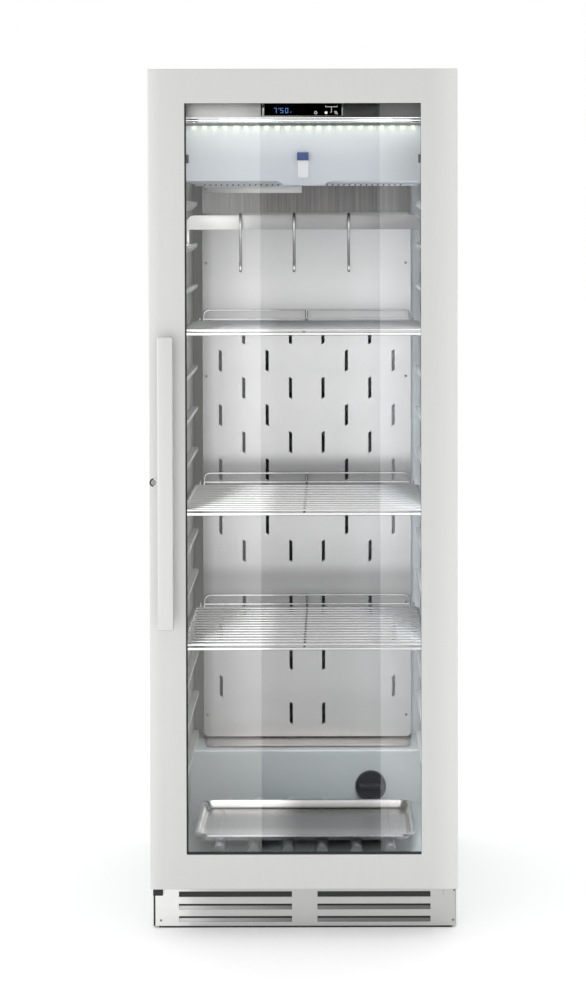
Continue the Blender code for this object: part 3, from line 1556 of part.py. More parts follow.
def shelf_mesh():
    """The shelf with the middle of its frame wires at height 0."""
    outline = rounded_rectangle(
        -shelf_half, shelf_half, shelf_front_y, shelf_rear_y, SHELF_CORNER, steps=3
    )
    frame = wire(
        "shelf frame", [(x, y, 0) for x, y in outline], FRAME_WIRE, closed=True
    )
    rise = FRAME_WIRE + CROSS_WIRE - WELD_DEPTH
    pitch = SHELF_DEPTH / (CROSS_COUNT + 1)
    wires = [
        cylinder(
            f"cross wire {number}",
            CROSS_WIRE,
            -shelf_half,
            shelf_half,
            "X",
            (shelf_front_y + (number + 1) * pitch, rise),
            sides=6,
        )
        for number in range(CROSS_COUNT)
    ]
    guard = [(-GUARD_HALF, shelf_rear_y, 0)]
    for step in range(4):
        angle = math.pi - step * math.pi / 6
        guard.append(
            (
                GUARD_CORNER - GUARD_HALF + GUARD_CORNER * math.cos(angle),
                shelf_rear_y,
                GUARD_HEIGHT - GUARD_CORNER + GUARD_CORNER * math.sin(angle),
            )
        )
    guard += [(-x, y, z) for x, y, z in reversed(guard)]
    wires.append(wire("rear guard", guard, CROSS_WIRE))
    wires.append(
        cylinder(
            "lower guard wire",
            CROSS_WIRE,
            -GUARD_HALF,
            GUARD_HALF,
            "X",
            (shelf_rear_y, GUARD_LOWER),
            sides=6,
        )
    )
    centre = [
        (0, shelf_front_y, 0),
        (0, shelf_rear_y - FRONT_WIRE_RUN, 0),
        (0, shelf_rear_y - CENTRE_WIRE * 2, CENTRE_WIRE * 2),
        (0, shelf_rear_y, GUARD_HEIGHT),
    ]
    wires.append(wire("centre wire", centre, CENTRE_WIRE))
    raised = [
        (-shelf_half, shelf_front_y + FRONT_WIRE_RUN, 0),
        (-shelf_half, shelf_front_y + CROSS_WIRE, FRONT_WIRE_RISE),
        (shelf_half, shelf_front_y + CROSS_WIRE, FRONT_WIRE_RISE),
        (shelf_half, shelf_front_y + FRONT_WIRE_RUN, 0),
    ]
    wires.append(wire("raised front wire", raised, CROSS_WIRE))
    welded = bpy.data.collections.new("shelf wires")
    cutters.children.link(welded)
    for piece in wires:
        cutters.objects.unlink(piece)
        welded.objects.link(piece)
    step = frame.modifiers.new("welded wires", "BOOLEAN")
    step.operation = "UNION"
    step.solver = "EXACT"
    step.operand_type = "COLLECTION"
    step.collection = welded
    return baked(frame)


shelf = shelf_mesh()
for name, level in zip(SHELF_NAMES, SHELF_LEVELS):
    seat = ledge_height(level) + LEDGE_HEIGHT / 2 + GAP + FRAME_WIRE
    add(name, shelf.copy(), "bright_steel", (0, 0, seat))

# Tray: a shallow pressed sheet with sloping walls and a rolled rim
TRAY_SIDE_CLEAR = 0.0305
TRAY_SET_BACK = 0.012
TRAY_REAR_SPACE = 0.110
TRAY_HEIGHT = 0.0165
TRAY_RIM = 0.009
TRAY_RIM_DROP = 0.004
TRAY_SLOPE = 0.008
TRAY_CORNER = 0.030
TRAY_SHEET = 0.001
TRAY_HALF = CAVITY_HALF - TRAY_SIDE_CLEAR
TRAY_FRONT = BODY_FRONT + RIB_SET_BACK + TRAY_SET_BACK
TRAY_DEPTH = STEP_DEPTH - TRAY_REAR_SPACE - TRAY_FRONT
rib_top = CAVITY_FLOOR + RIB_HEIGHT


def loft(name, rings, finish_name):
    """An open skin over rings of equally many points, closed by a face over the last ring."""
    shape = bmesh.new()
    rows = [[shape.verts.new(point) for point in ring_points] for ring_points in rings]
    for above, below in zip(rows, rows[1:]):
        for n in range(len(above)):
            m = (n + 1) % len(above)
            shape.faces.new((above[n], above[m], below[m], below[n]))
    shape.faces.new(rows[-1])
    bmesh.ops.recalc_face_normals(shape, faces=shape.faces)
    mesh = bpy.data.meshes.new(name)
    shape.to_mesh(mesh)
    shape.free()
    return add(name, mesh, finish_name)


def tray_ring(inset, height, corner):
    front = deep(TRAY_FRONT) + inset
    rear = deep(TRAY_FRONT + TRAY_DEPTH) - inset
    half = TRAY_HALF - inset
    loop = rounded_rectangle(-half, half, front, rear, corner)
    return [(x, y, height) for x, y in loop]


tray_bottom = rib_top + GAP + TRAY_SHEET
tray_top = tray_bottom + TRAY_HEIGHT
tray = loft(
    "tray",
    [
        tray_ring(0, tray_top - TRAY_RIM_DROP, TRAY_CORNER),
        tray_ring(TRAY_SHEET, tray_top, TRAY_CORNER - TRAY_SHEET),
        tray_ring(TRAY_RIM, tray_top, TRAY_CORNER - TRAY_RIM),
        tray_ring(TRAY_RIM + TRAY_SLOPE / 2, tray_bottom + TRAY_SLOPE / 2, TRAY_CORNER - TRAY_RIM),
        tray_ring(TRAY_RIM + TRAY_SLOPE, tray_bottom, TRAY_CORNER - TRAY_RIM),
    ],
    "bright_steel",
)
wall = tray.modifiers.new("sheet", "SOLIDIFY")
wall.thickness = TRAY_SHEET
wall.offset = -1
wall.use_even_offset = True

# Hanging rail: a flat bar on two legs with feet on a pair of ledges, and three hooks over it
RAIL_LEVEL = 12
RAIL_SET_BACK = 0.026
RAIL_THICK = 0.002
RAIL_LIFT = 0.0311
RAIL_HEIGHT = 0.028
RAIL_SIDE_CLEAR = 0.007
RAIL_CORNER = 0.018
LEG_INSET = 0.017
LEG_WIDTH = 0.006
FOOT_THICK = 0.003
FOOT_HALF_DEPTH = 0.016
RAIL_DEPTH = LEDGE_FRONT + RAIL_SET_BACK
RAIL_HALF = CAVITY_HALF - RAIL_SIDE_CLEAR
LEG_INNER = RAIL_HALF - LEG_INSET
rail_y = (deep(RAIL_DEPTH) - RAIL_THICK / 2, deep(RAIL_DEPTH) + RAIL_THICK / 2)
rail_seat = ledge_height(RAIL_LEVEL) + LEDGE_HEIGHT / 2 + GAP
RAIL_BOTTOM = rail_seat + RAIL_LIFT
RAIL_TOP = RAIL_BOTTOM + RAIL_HEIGHT
rail_loop = [(-RAIL_HALF, RAIL_BOTTOM), (RAIL_HALF, RAIL_BOTTOM)]
for quarter, across in ((0, RAIL_HALF - RAIL_CORNER), (1, RAIL_CORNER - RAIL_HALF)):
    for step in range(7):
        angle = (quarter + step / 6) * math.pi / 2
        rail_loop.append(
            (
                across + RAIL_CORNER * math.cos(angle),
                RAIL_TOP - RAIL_CORNER + RAIL_CORNER * math.sin(angle),
            )
        )
rail = plate("hanging_rail", [rail_loop], *rail_y, "Y", "steel")
for side, side_name in ((-1, "left"), (1, "right")):
    leg_x = sorted((side * LEG_INNER, side * (LEG_INNER + LEG_WIDTH)))
    foot_x = sorted((side * LEG_INNER, side * RAIL_HALF))
    join(
        rail,
        box(
            f"{side_name} rail leg",
            leg_x,
            (rail_y[0] + GAP, rail_y[1] + FOOT_THICK),
            (rail_seat + FOOT_THICK / 2, RAIL_BOTTOM + FOOT_THICK),
        ),
        box(
            f"{side_name} rail foot",
            foot_x,
            (deep(RAIL_DEPTH) - FOOT_HALF_DEPTH, deep(RAIL_DEPTH) + FOOT_HALF_DEPTH),
            (rail_seat, rail_seat + FOOT_THICK),
        ),
    )

HOOK_NAMES = ("hook_left", "hook_centre", "hook_right")
HOOK_PLACE_SHARES = (-0.5103, -0.0761, 0.3663)
HOOK_WIRE = 0.0027
HOOK_BEND = 0.009
HOOK_LENGTH = 0.118
HOOK_STRAIGHT = 0.024
HOOK_TAIL = 0.008
HOOK_STEPS = 8
bend_height = RAIL_TOP + GAP - (HOOK_BEND - HOOK_WIRE)
bend_span = HOOK_LENGTH - 2 * (HOOK_BEND + HOOK_WIRE)


def hook_points():
    """Half of the S, from its tail to its middle, then the same half turned about the middle.

    Heights count from the rail's top edge.
    """
    upper = bend_height - RAIL_TOP
    middle = upper - bend_span / 2
    half = [(0, HOOK_BEND, upper - HOOK_TAIL)]
    for step in range(HOOK_STEPS + 1):
        angle = math.pi * step / HOOK_STEPS
        half.append((0, HOOK_BEND * math.cos(angle), upper + HOOK_BEND * math.sin(angle)))
    half.append((0, -HOOK_BEND, upper - HOOK_STRAIGHT))
    return half + [(0, -y, 2 * middle - z) for _, y, z in reversed(half)]


for name, share in zip(HOOK_NAMES, HOOK_PLACE_SHARES):
    hook = wire(name, hook_points(), HOOK_WIRE, "bright_steel", sides=2)
    hook.location = (share * RAIL_HALF, deep(RAIL_DEPTH), RAIL_TOP)

# Filter cap: a disc with a grip bar and a spigot that turns in the lower rear wall
CAP_RADIUS = 0.0327
CAP_THICK = 0.009
CAP_CHAMFER = 0.0015
GRIP_HALF = 0.026
GRIP_HALF_HEIGHT = 0.005
GRIP_REACH = 0.007
cap_seat = STEP_Y - GAP
filter_cap = turned(
    "filter_cap",
    [
        (0, CAP_THICK),
        (CAP_RADIUS - CAP_CHAMFER, CAP_THICK),
        (CAP_RADIUS, CAP_THICK - CAP_CHAMFER),
        (CAP_RADIUS, 0),
        (FILTER_BORE, 0),
        (FILTER_BORE, -SPIGOT_LENGTH),
        (0, -SPIGOT_LENGTH),
    ],
    (FILTER_X, cap_seat, FILTER_HEIGHT),
    "black_plastic",
    forward=True,
)
join(
    filter_cap,
    rounded_box(
        "cap grip",
        (FILTER_X - GRIP_HALF, FILTER_X + GRIP_HALF),
        (cap_seat - CAP_THICK - GRIP_REACH, cap_seat - CAP_THICK / 2),
        (FILTER_HEIGHT - GRIP_HALF_HEIGHT, FILTER_HEIGHT + GRIP_HALF_HEIGHT),
        CAP_CHAMFER,
    ),
)
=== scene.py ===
# %% [markdown]
# # An upright dry aging cabinet
#
# The cabinet is a tall fridge with a framed glass door. Its construction is already modelled, so this
# lesson only dresses it: every surface gets the finish of the real one, and small visible things that
# a construction drawing leaves plain are modelled here. All lengths are metres. The door faces -Y.

# %% Load the construction and note its box
import math

import bmesh
import bpy
from mathutils import Matrix, Vector


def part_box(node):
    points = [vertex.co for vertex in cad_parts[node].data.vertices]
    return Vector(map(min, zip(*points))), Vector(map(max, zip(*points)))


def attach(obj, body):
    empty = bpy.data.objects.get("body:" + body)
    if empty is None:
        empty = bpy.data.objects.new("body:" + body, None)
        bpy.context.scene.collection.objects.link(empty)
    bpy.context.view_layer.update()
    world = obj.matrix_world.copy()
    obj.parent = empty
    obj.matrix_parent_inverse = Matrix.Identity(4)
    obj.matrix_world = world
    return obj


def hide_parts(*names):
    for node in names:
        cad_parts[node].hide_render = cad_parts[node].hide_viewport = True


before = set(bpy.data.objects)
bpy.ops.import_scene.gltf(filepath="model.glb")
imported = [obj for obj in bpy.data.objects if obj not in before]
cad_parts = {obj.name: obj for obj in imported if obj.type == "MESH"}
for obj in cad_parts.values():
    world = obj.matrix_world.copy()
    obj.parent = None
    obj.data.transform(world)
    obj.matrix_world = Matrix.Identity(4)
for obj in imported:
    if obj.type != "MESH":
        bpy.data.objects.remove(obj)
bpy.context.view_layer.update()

# %% [markdown]
# ## Measures read from the construction
#
# A piece that is added later has to sit on a real face. So the planes that matter are read from the
# nodes that have them, and not typed in again.

# %% Planes of the cabinet
MILLIMETRE = 0.001
DOOR_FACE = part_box("door_frame")[0].y
FASCIA_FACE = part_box("control_fascia")[0].y
WINDOW_LOW, WINDOW_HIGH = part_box("door_inner_frame")
HOUSING_LOW, HOUSING_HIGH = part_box("evaporator_housing")
print("door front at", round(DOOR_FACE, 4), "fascia at", round(FASCIA_FACE, 4))

# %% [markdown]
# ## Camera
#
# The photograph was taken from about four metres with a short telephoto lens, a little right of the
# cabinet's middle and above its half height. The picture plane stays almost upright, so the sides of
# the cabinet stay parallel, and the lens is shifted down instead of the camera being tilted.

# %% The camera
CAMERA_DISTANCE = 4.0
CAMERA_X = 0.0591
CAMERA_Z = 1.3957
CAMERA_TILT = math.radians(90 - 1.2)
CAMERA_ROLL = math.radians(0.11)
camera_data = bpy.data.cameras.new("camera")
camera_data.lens = 75.0
camera_data.sensor_width = 36
camera_data.sensor_fit = "AUTO"
camera_data.shift_x = -0.0405
camera_data.shift_y = -0.2395
camera_data.clip_end = 100
camera = bpy.data.objects.new("camera", camera_data)
bpy.context.scene.collection.objects.link(camera)
camera.location = (CAMERA_X, DOOR_FACE - CAMERA_DISTANCE, CAMERA_Z)
camera.rotation_euler = (CAMERA_TILT, CAMERA_ROLL, 0)
bpy.context.scene.camera = camera
print("camera", [round(value, 3) for value in camera.location], "lens", camera_data.lens)

# %% [markdown]
# ## Small helpers for materials
#
# Colours are written as hex values, as in any paint program, and turned to the linear values that
# the renderer works in. A single function adds a node, sets its values and links its inputs.


# %% Colour and node helpers
def colour(hex_value):
    """An sRGB hex colour as linear red, green, blue and alpha."""
    parts = [int(hex_value[place:place + 2], 16) / 255 for place in (0, 2, 4)]
    linear = [part / 12.92 if part <= 0.04045 else ((part + 0.055) / 1.055) ** 2.4 for part in parts]
    return (*linear, 1.0)


def add_node(tree, kind, settings=None, **inputs):
    """Adds a node and sets or links its inputs, which are named with _ for spaces, or i and a number."""
    made = tree.nodes.new(kind)
    for name, value in (settings or {}).items():
        setattr(made, name, value)
    for name, value in inputs.items():
        socket = made.inputs[int(name[1:]) if name[1:].isdigit() else name.replace("_", " ")]
        if isinstance(value, bpy.types.NodeSocket):
            tree.links.new(value, socket)
        else:
            socket.default_value = value
    return made


def new_material(name):
    """An empty node material and its node tree."""
    material = bpy.data.materials.new(name)
    material.use_nodes = True
    material.node_tree.nodes.clear()
    return material, material.node_tree


WHITE = colour("FFFFFF")

# %% [markdown]
# ## Studio
#
# The photograph has a white sweep with a faint shadow under the cabinet. The world is plain white. The
# floor is a white plane with a weak glow of its own, so only the shadow near the cabinet shows on it.

# %% World and floor
FLOOR_SIZE = 60
FLOOR_GLOW = 0.13
world = bpy.data.worlds.new("white studio")
bpy.context.scene.world = world
world.use_nodes = True
world.node_tree.nodes.clear()
sky = add_node(world.node_tree, "ShaderNodeBackground", Color=WHITE, Strength=1.0)
add_node(world.node_tree, "ShaderNodeOutputWorld", Surface=sky.outputs[0])


def stage_plane(name, place, turn, size, material):
    """A plane of the studio, which is no part of the cabinet."""
    bpy.ops.object.select_all(action="DESELECT")
    bpy.ops.mesh.primitive_plane_add(size=1, location=place, rotation=turn)
    plane = bpy.context.object
    plane.name = name
    plane.scale = (*size, 1)
    plane.data.materials.append(material)
    return plane


floor_white, tree = new_material("floor_white")
paper = add_node(tree, "ShaderNodeBsdfDiffuse", Color=WHITE)
glow = add_node(tree, "ShaderNodeEmission", Color=WHITE, Strength=FLOOR_GLOW)
both = add_node(tree, "ShaderNodeAddShader", i0=paper.outputs[0], i1=glow.outputs[0])
add_node(tree, "ShaderNodeOutputMaterial", Surface=both.outputs[0])
stage_plane("floor", (0, 0, 0), (0, 0, 0), (FLOOR_SIZE, FLOOR_SIZE), floor_white)
print("floor", FLOOR_SIZE, "m wide")

# %% [markdown]
# Two soft boxes light the door from the left and the right. A real one would mirror in the glass as a
# hard white shape, so these are clear to sharp mirror rays. What the door's glass does mirror is the
# white room, as two pale bands with a darker one between them, where the room behind the camera is
# dark. A card before the door stands for that dark part, and only sharp mirror rays see it.


# %% Soft boxes and the dark card
def ray_cloth(name, mirrored, otherwise):
    """A cloth with one glow for sharp mirror rays and one for all others. None makes it clear."""
    material, tree = new_material(name)
    path = add_node(tree, "ShaderNodeLightPath")
    shaders = [add_node(tree, "ShaderNodeBsdfTransparent", Color=WHITE) if glow is None
               else add_node(tree, "ShaderNodeEmission", Color=WHITE, Strength=glow)
               for glow in (otherwise, mirrored)]
    mix = add_node(tree, "ShaderNodeMixShader", i0=path.outputs["Is Singular Ray"],
                   i1=shaders[0].outputs[0], i2=shaders[1].outputs[0])
    add_node(tree, "ShaderNodeOutputMaterial", Surface=mix.outputs[0])
    return material


def hide(thing, *rays):
    """Hides a lamp or a plane from some kinds of ray."""
    for ray in rays:
        setattr(thing, f"visible_{ray}", False)


def soft_box(name, place, size, power):
    """A glowing cloth as large as a window that looks at the middle of the door."""
    cloth = ray_cloth(name.replace(" ", "_"), None, power / (math.pi * size[0] * size[1]))
    turn = (Vector(SOFT_BOX_TARGET) - Vector(place)).to_track_quat("Z", "Y").to_euler()
    hide(stage_plane(name, place, turn, size, cloth), "camera", "shadow")


SOFT_BOX_TARGET = (0, -0.3, 0.9)
CARD_DISTANCE = 0.45
CARD_LEFT = -0.0979
CARD_RIGHT = 0.1584
CARD_HEIGHT = 2.2
card_place = ((CARD_LEFT + CARD_RIGHT) / 2, DOOR_FACE - CARD_DISTANCE, CARD_HEIGHT / 2)
card = stage_plane("dark_card", card_place, (math.pi / 2, 0, 0), (CARD_RIGHT - CARD_LEFT, CARD_HEIGHT),
                   ray_cloth("dark_card", 0.0, None))
hide(card, "camera", "diffuse", "transmission", "shadow")
soft_box("key box", (-2.3, -2.9, 1.15), (2.0, 2.2), 24)
soft_box("fill box", (2.2, -3.0, 1.15), (1.6, 2.0), 10)
print("card", CARD_LEFT, "to", CARD_RIGHT)

# %% [markdown]
# The room's light also falls in through the glass. A renderer finds so small an opening slowly, so
# soft lamps as large as parts of the window light the cavity from just behind the panes. Some of them
# light only what mirrors and the others only what is matt, because metal and plastic take the room's
# light from different sides. One more lamp before the housing stands for the lamp strip's glow, and
# a row of small ones for its diodes.


# %% Lamps behind the glass
def new_lamp(name, kind, place, power, tint):
    """A lamp of a kind at a place."""
    data = bpy.data.lights.new(name, kind)
    data.energy = power
    data.color = colour(tint)[:3]
    lamp = bpy.data.objects.new(name, data)
    bpy.context.scene.collection.objects.link(lamp)
    lamp.location = place
    return lamp


def soft_lamp(name, place, size, power, tint="FFFFFF", look=(0, 1, 0), unlit=None):
    """A soft rectangular lamp that looks along a direction. unlit is the kind of ray that it spares."""
    lamp = new_lamp(name, "AREA", place, power, tint)
    lamp.data.shape = "RECTANGLE"
    lamp.data.size, lamp.data.size_y = size
    lamp.rotation_euler = Vector(look).to_track_quat("-Z", "Y").to_euler()
    hide(lamp, "camera", *([unlit] if unlit else []))


COOL_WHITE = "FBFBFF"
window_y = WINDOW_HIGH.y + 0.030
for nearer, middle_z, height, power in ((0.0, 0.91, 1.38, 3.0), (0.006, 1.06, 0.60, 0.6)):
    soft_lamp("window lamp on metal", (0, window_y + nearer, middle_z), (0.49, height), power,
              unlit="diffuse")
for middle_x, middle_z, width, height, power in (
    (0.19, 0.78, 0.08, 1.16, 4.0), (-0.18, 0.30, 0.08, 0.26, 0.16),
    (-0.03, 1.47, 0.42, 0.13, 0.125), (-0.14, 1.47, 0.20, 0.13, 0.17),
):
    soft_lamp("window lamp on liner", (middle_x, window_y, middle_z), (width, height), power, COOL_WHITE,
              unlit="glossy")
soft_lamp("window lamp on ridges", (0.005, FASCIA_FACE + 0.004, 1.587), (0.34, 0.012), 0.009,
          unlit="diffuse")
soft_lamp("lamp strip glow", (0, HOUSING_LOW.y - 0.030, 1.578), (0.46, 0.02), 0.075, "FFFFF4",
          (0, 0.050, -0.178))

LED_COUNT = 22
LED_REACH = 0.216
LED_HEIGHT = 1.5738
LED_SPACE = 5 * MILLIMETRE
LED_RADIUS = 2 * MILLIMETRE
for number in range(LED_COUNT):
    across = LED_REACH * (2 * number / (LED_COUNT - 1) - 1)
    diode = new_lamp("light emitting diode", "POINT", (across, HOUSING_LOW.y - LED_SPACE, LED_HEIGHT),
                     0.0016, "FAFFCC")
    diode.data.shadow_soft_size = LED_RADIUS
bpy.context.scene.view_settings.view_transform = "Standard"
print("studio lit with", len(bpy.data.lights), "lamps")

# %% [markdown]
# ## Finishes
#
# Stainless steel is a metal, so its colour is what it mirrors, times a pale grey. The grain of a
# satin sheet is made by an abrasive belt: fine scratches, long along the belt and a tenth of a
# millimetre across. That is finer than a pixel here, so it is drawn about ten times as coarse.

# %% Sheet metal finishes
MULTIPLY = {"data_type": "RGBA", "blend_type": "MULTIPLY"}
MIX = {"data_type": "RGBA"}
ALONG_X = (0.02, 1, 1)
ALONG_Z = (1, 1, 0.02)


def tone_run(tree, place, axis, stops):
    """A colour that runs through stops of (place, tint) along an axis."""
    apart = add_node(tree, "ShaderNodeSeparateXYZ", Vector=place)
    low, high = stops[0][0], stops[-1][0]
    share = add_node(tree, "ShaderNodeMapRange", Value=apart.outputs[axis], From_Min=low, From_Max=high)
    ramp = add_node(tree, "ShaderNodeValToRGB", Fac=share.outputs[0])
    ramp.color_ramp.interpolation = "EASE"
    for at, _ in stops[1:-1]:
        ramp.color_ramp.elements.new((at - low) / (high - low))
    for element, (_, tint) in zip(ramp.color_ramp.elements, stops):
        element.color = colour(tint)
    return ramp.outputs["Color"]


def brushed_metal(name, tones, roughness, grain=ALONG_Z, grain_size=1.2 * MILLIMETRE, contrast=0.05,
                  bump=0.02, rim=0.0):
    """Belt-brushed metal. grain is the scratches' scale along x, y and z, where a small one is along.

    tones is one tint, or runs of tints by axis, which multiply. The runs are painted reflection and shade: a
    wide sheet is paler where it would mirror a bright side of the room and darker where it would mirror a dim
    one or the shelves. rim is how much painted shade darkens a thin wire towards its edges, in place of the
    cavity's walls that it would mirror.
    """
    material, tree = new_material(name)
    place = add_node(tree, "ShaderNodeTexCoord").outputs["Object"]
    stretch = add_node(tree, "ShaderNodeMapping", Vector=place, Scale=grain)
    scratches = add_node(tree, "ShaderNodeTexNoise", Vector=stretch.outputs[0], Scale=1 / grain_size,
                         Detail=3.0)
    cloud = add_node(tree, "ShaderNodeTexNoise", Vector=place, Scale=3.0, Detail=1.0)
    depth = add_node(tree, "ShaderNodeMapRange", Value=scratches.outputs["Fac"], To_Min=1 - contrast,
                     To_Max=1.0)
    shade = depth.outputs[0]
    runs = [colour(tones)] if isinstance(tones, str) else [
        tone_run(tree, place, axis, stops) for axis, stops in tones.items()]
    for run in runs:
        shade = add_node(tree, "ShaderNodeMix", MULTIPLY, Factor=1.0, i6=run, i7=shade).outputs[2]
    if rim:
        angle = add_node(tree, "ShaderNodeLayerWeight", Blend=0.5)
        dim = add_node(tree, "ShaderNodeMapRange", Value=angle.outputs["Facing"], From_Min=0.1,
                       From_Max=0.8, To_Min=1.0, To_Max=1 - rim)
        shade = add_node(tree, "ShaderNodeMix", MULTIPLY, Factor=1.0, i6=shade, i7=dim.outputs[0]).outputs[2]
    polish = add_node(tree, "ShaderNodeMapRange", Value=cloud.outputs["Fac"], To_Min=roughness - 0.03,
                      To_Max=roughness + 0.03)
    relief = add_node(tree, "ShaderNodeBump", Height=scratches.outputs["Fac"], Strength=bump,
                      Distance=0.2 * MILLIMETRE)
    shader = add_node(tree, "ShaderNodeBsdfPrincipled", Base_Color=shade, Metallic=1.0,
                      Roughness=polish.outputs[0], Normal=relief.outputs[0])
    add_node(tree, "ShaderNodeOutputMaterial", Surface=shader.outputs[0])
    return material


# %% [markdown]
# The cabinet's outside is satin stainless sheet. The panels in the cavity are the same sheet with a stronger
# grain. Their tints carry painted reflection and shade of what each would mirror: the shelves' edges as soft
# darker bands up the duct panel, the bright and the dim side of the room along the fascia, the rail and the
# plinth.

# %% Steel of the door and the panels
# Painted reflection and light: the door's tint is paler at its outer edges. The duct panel's tint is darker
# in bands where the shelves would be mirrored, and darker at its top under the housing and at its left edge.
# The fascia, plinth, louvres and fan cover are paler at the left than at the right. The guide strip is
# painted paler towards its top, against the shade under the housing's lip.
STILE_SHADES = ((-0.2975, "DEDEDD"), (-0.270, "D4D4D3"), (-0.235, "D2D2D1"), (0.24, "D3D3D2"),
                (0.2975, "DDDDDC"))
SHELF_SHADES = (
    (0.258, "DCDCDC"), (0.29, "DCDCDC"), (0.345, "D2D2D2"), (0.43, "C8C8C8"), (0.53, "BCBCBC"),
    (0.575, "C0C0C0"), (0.61, "B2B2B2"), (0.645, "CFCFCF"), (0.735, "D7D7D7"), (0.80, "B0B0B0"),
    (0.850, "A4A4A4"), (0.885, "D2D2D2"), (0.955, "CCCCCC"), (1.05, "CCCCCC"), (1.13, "D8D8D8"),
    (1.22, "D8D8D8"), (1.31, "CACACA"), (1.385, "C4C4C4"), (1.404, "989898"),
)
SIDE_SHADES = ((-0.227, "C4C4C4"), (-0.197, "F0F0F0"), (-0.12, "FFFFFF"), (-0.05, "F2F2F2"),
               (0.06, "F2F2F2"), (0.14, "FFFFFF"))
FASCIA_SHADES = ((-0.13, "F2F2F0"), (-0.082, "D4D4D2"), (0.10, "626262"))
PLINTH_SHADES = ((-0.25, "F0F0EE"), (-0.236, "EAEAE8"), (-0.215, "D6D6D5"), (-0.195, "CECECD"),
                 (-0.165, "C9C9C8"), (-0.06, "C5C5C4"))
LOUVRE_SHADES = ((-0.24, "C2C2C2"), (-0.15, "9C9C9C"), (0.0, "787878"), (0.24, "6E6E6E"))
COVER_SHADES = ((-0.22, "B4B2B0"), (-0.02, "969492"), (0.17, "989694"), (0.22, "747270"))
STRIP_SHADES = ((1.448, "B0B0AE"), (1.456, "CCCCCA"), (1.466, "FFFFFF"))
door_steel = brushed_metal("satin_stainless_door", {"X": STILE_SHADES}, 0.44)
handle_steel = brushed_metal("satin_stainless_handle", "D7D7D6", 0.36)
panel_steel = brushed_metal("brushed_stainless_panel", {"Z": SHELF_SHADES, "X": SIDE_SHADES}, 0.42,
                            contrast=0.10)
fascia_steel = brushed_metal("brushed_stainless_fascia", {"X": FASCIA_SHADES}, 0.30, ALONG_X, contrast=0.2)
plinth_steel = brushed_metal("satin_stainless_plinth", {"X": PLINTH_SHADES}, 0.40, ALONG_X)
louvre_steel = brushed_metal("satin_louvre", {"X": LOUVRE_SHADES}, 0.40, ALONG_X, contrast=0.1)
cover_steel = brushed_metal("brushed_fan_cover", {"X": COVER_SHADES}, 0.40, grain_size=4.5 * MILLIMETRE,
                            contrast=0.7)
strip_steel = brushed_metal("satin_guide_strip", {"Z": STRIP_SHADES}, 0.40, ALONG_X, contrast=0.1)
foot_steel = brushed_metal("satin_duct_foot", "CEC8C4", 0.30, ALONG_X, contrast=0.06)
print("sheet finishes made:", len(bpy.data.materials))

# %% [markdown]
# Wire, rail and tray are smoother, so their mirror images are sharper. A round wire mirrors the whole cavity
# across its width; here that is painted reflection, bright in its middle and painted shade at both edges.
# Turned parts and the aluminium profile of the lamp are polished.

# %% Steel of the wires, the tray and small parts
# Painted reflection and highlights: the rail and the wires are paler at the left than at the right. The hooks
# have painted bright and dark bands along their height. The tray is pale at its front and at its back wall,
# with darker bands between, and paler at its left. The lock collar is dark at its left and white at its
# right.
RAIL_SHADES = ((-0.17, "C4C4C2"), (-0.07, "949494"), (0.08, "949494"), (0.18, "7A7A7A"))
WIRE_SHADES = ((-0.22, "F6F6F5"), (-0.09, "E8E8E7"), (-0.05, "C6C6C5"), (0.22, "C8C8C7"))
HOOK_SHADES = ((1.286, "9A9A9A"), (1.296, "B8B8B8"), (1.302, "626262"), (1.34, "727272"),
               (1.368, "A0A0A0"), (1.380, "B8B8B8"), (1.392, "6A6A6A"), (1.398, "383838"))
TRAY_SHADES = (
    (-0.226, "FFFFFF"), (-0.165, "FFFFFF"), (-0.150, "F6F4F2"), (-0.118, "D8D6D4"), (-0.03, "D4D2D0"),
    (0.004, "E6E4E2"), (0.0090, "8A8886"), (0.0120, "84827F"), (0.0145, "D8D6D4"), (0.0180, "FFFFFF"),
    (0.0275, "FFFFFF"),
)
TRAY_SIDES = ((-0.21, "FFFFFF"), (-0.08, "FFFFFF"), (0.0, "B4B4B4"), (0.12, "B4B4B4"), (0.19, "D8D8D8"))
LOCK_SHADES = ((-0.2945, "1C1C1C"), (-0.2890, "383838"), (-0.2868, "F4F4F4"))
rail_steel = brushed_metal("brushed_stainless_rail", {"X": RAIL_SHADES}, 0.34, ALONG_X, contrast=0.2)
wire_steel = brushed_metal("polished_stainless_wire", {"X": WIRE_SHADES}, 0.22, contrast=0.02, rim=0.6)
hook_steel = brushed_metal("chrome_plated_wire", {"Z": HOOK_SHADES}, 0.13, contrast=0.01, bump=0.0,
                           rim=0.85)
tray_steel = brushed_metal("pressed_stainless_tray", {"Y": TRAY_SHADES, "X": TRAY_SIDES}, 0.24,
                           contrast=0.03)
lock_steel = brushed_metal("turned_lock_collar", {"X": LOCK_SHADES}, 0.2, contrast=0.01, bump=0.0)
core_steel = brushed_metal("turned_lock_core", "A8A8A8", 0.3, contrast=0.1)
screw_steel = brushed_metal("plated_screw", "7C7C7B", 0.3, contrast=0.02)
alloy = brushed_metal("anodised_aluminium", "CFD1D3", 0.40)
lamp_alloy = brushed_metal("polished_aluminium", "FEFEFE", 0.12, ALONG_X, contrast=0.01)
print("metals made:", len(bpy.data.materials))
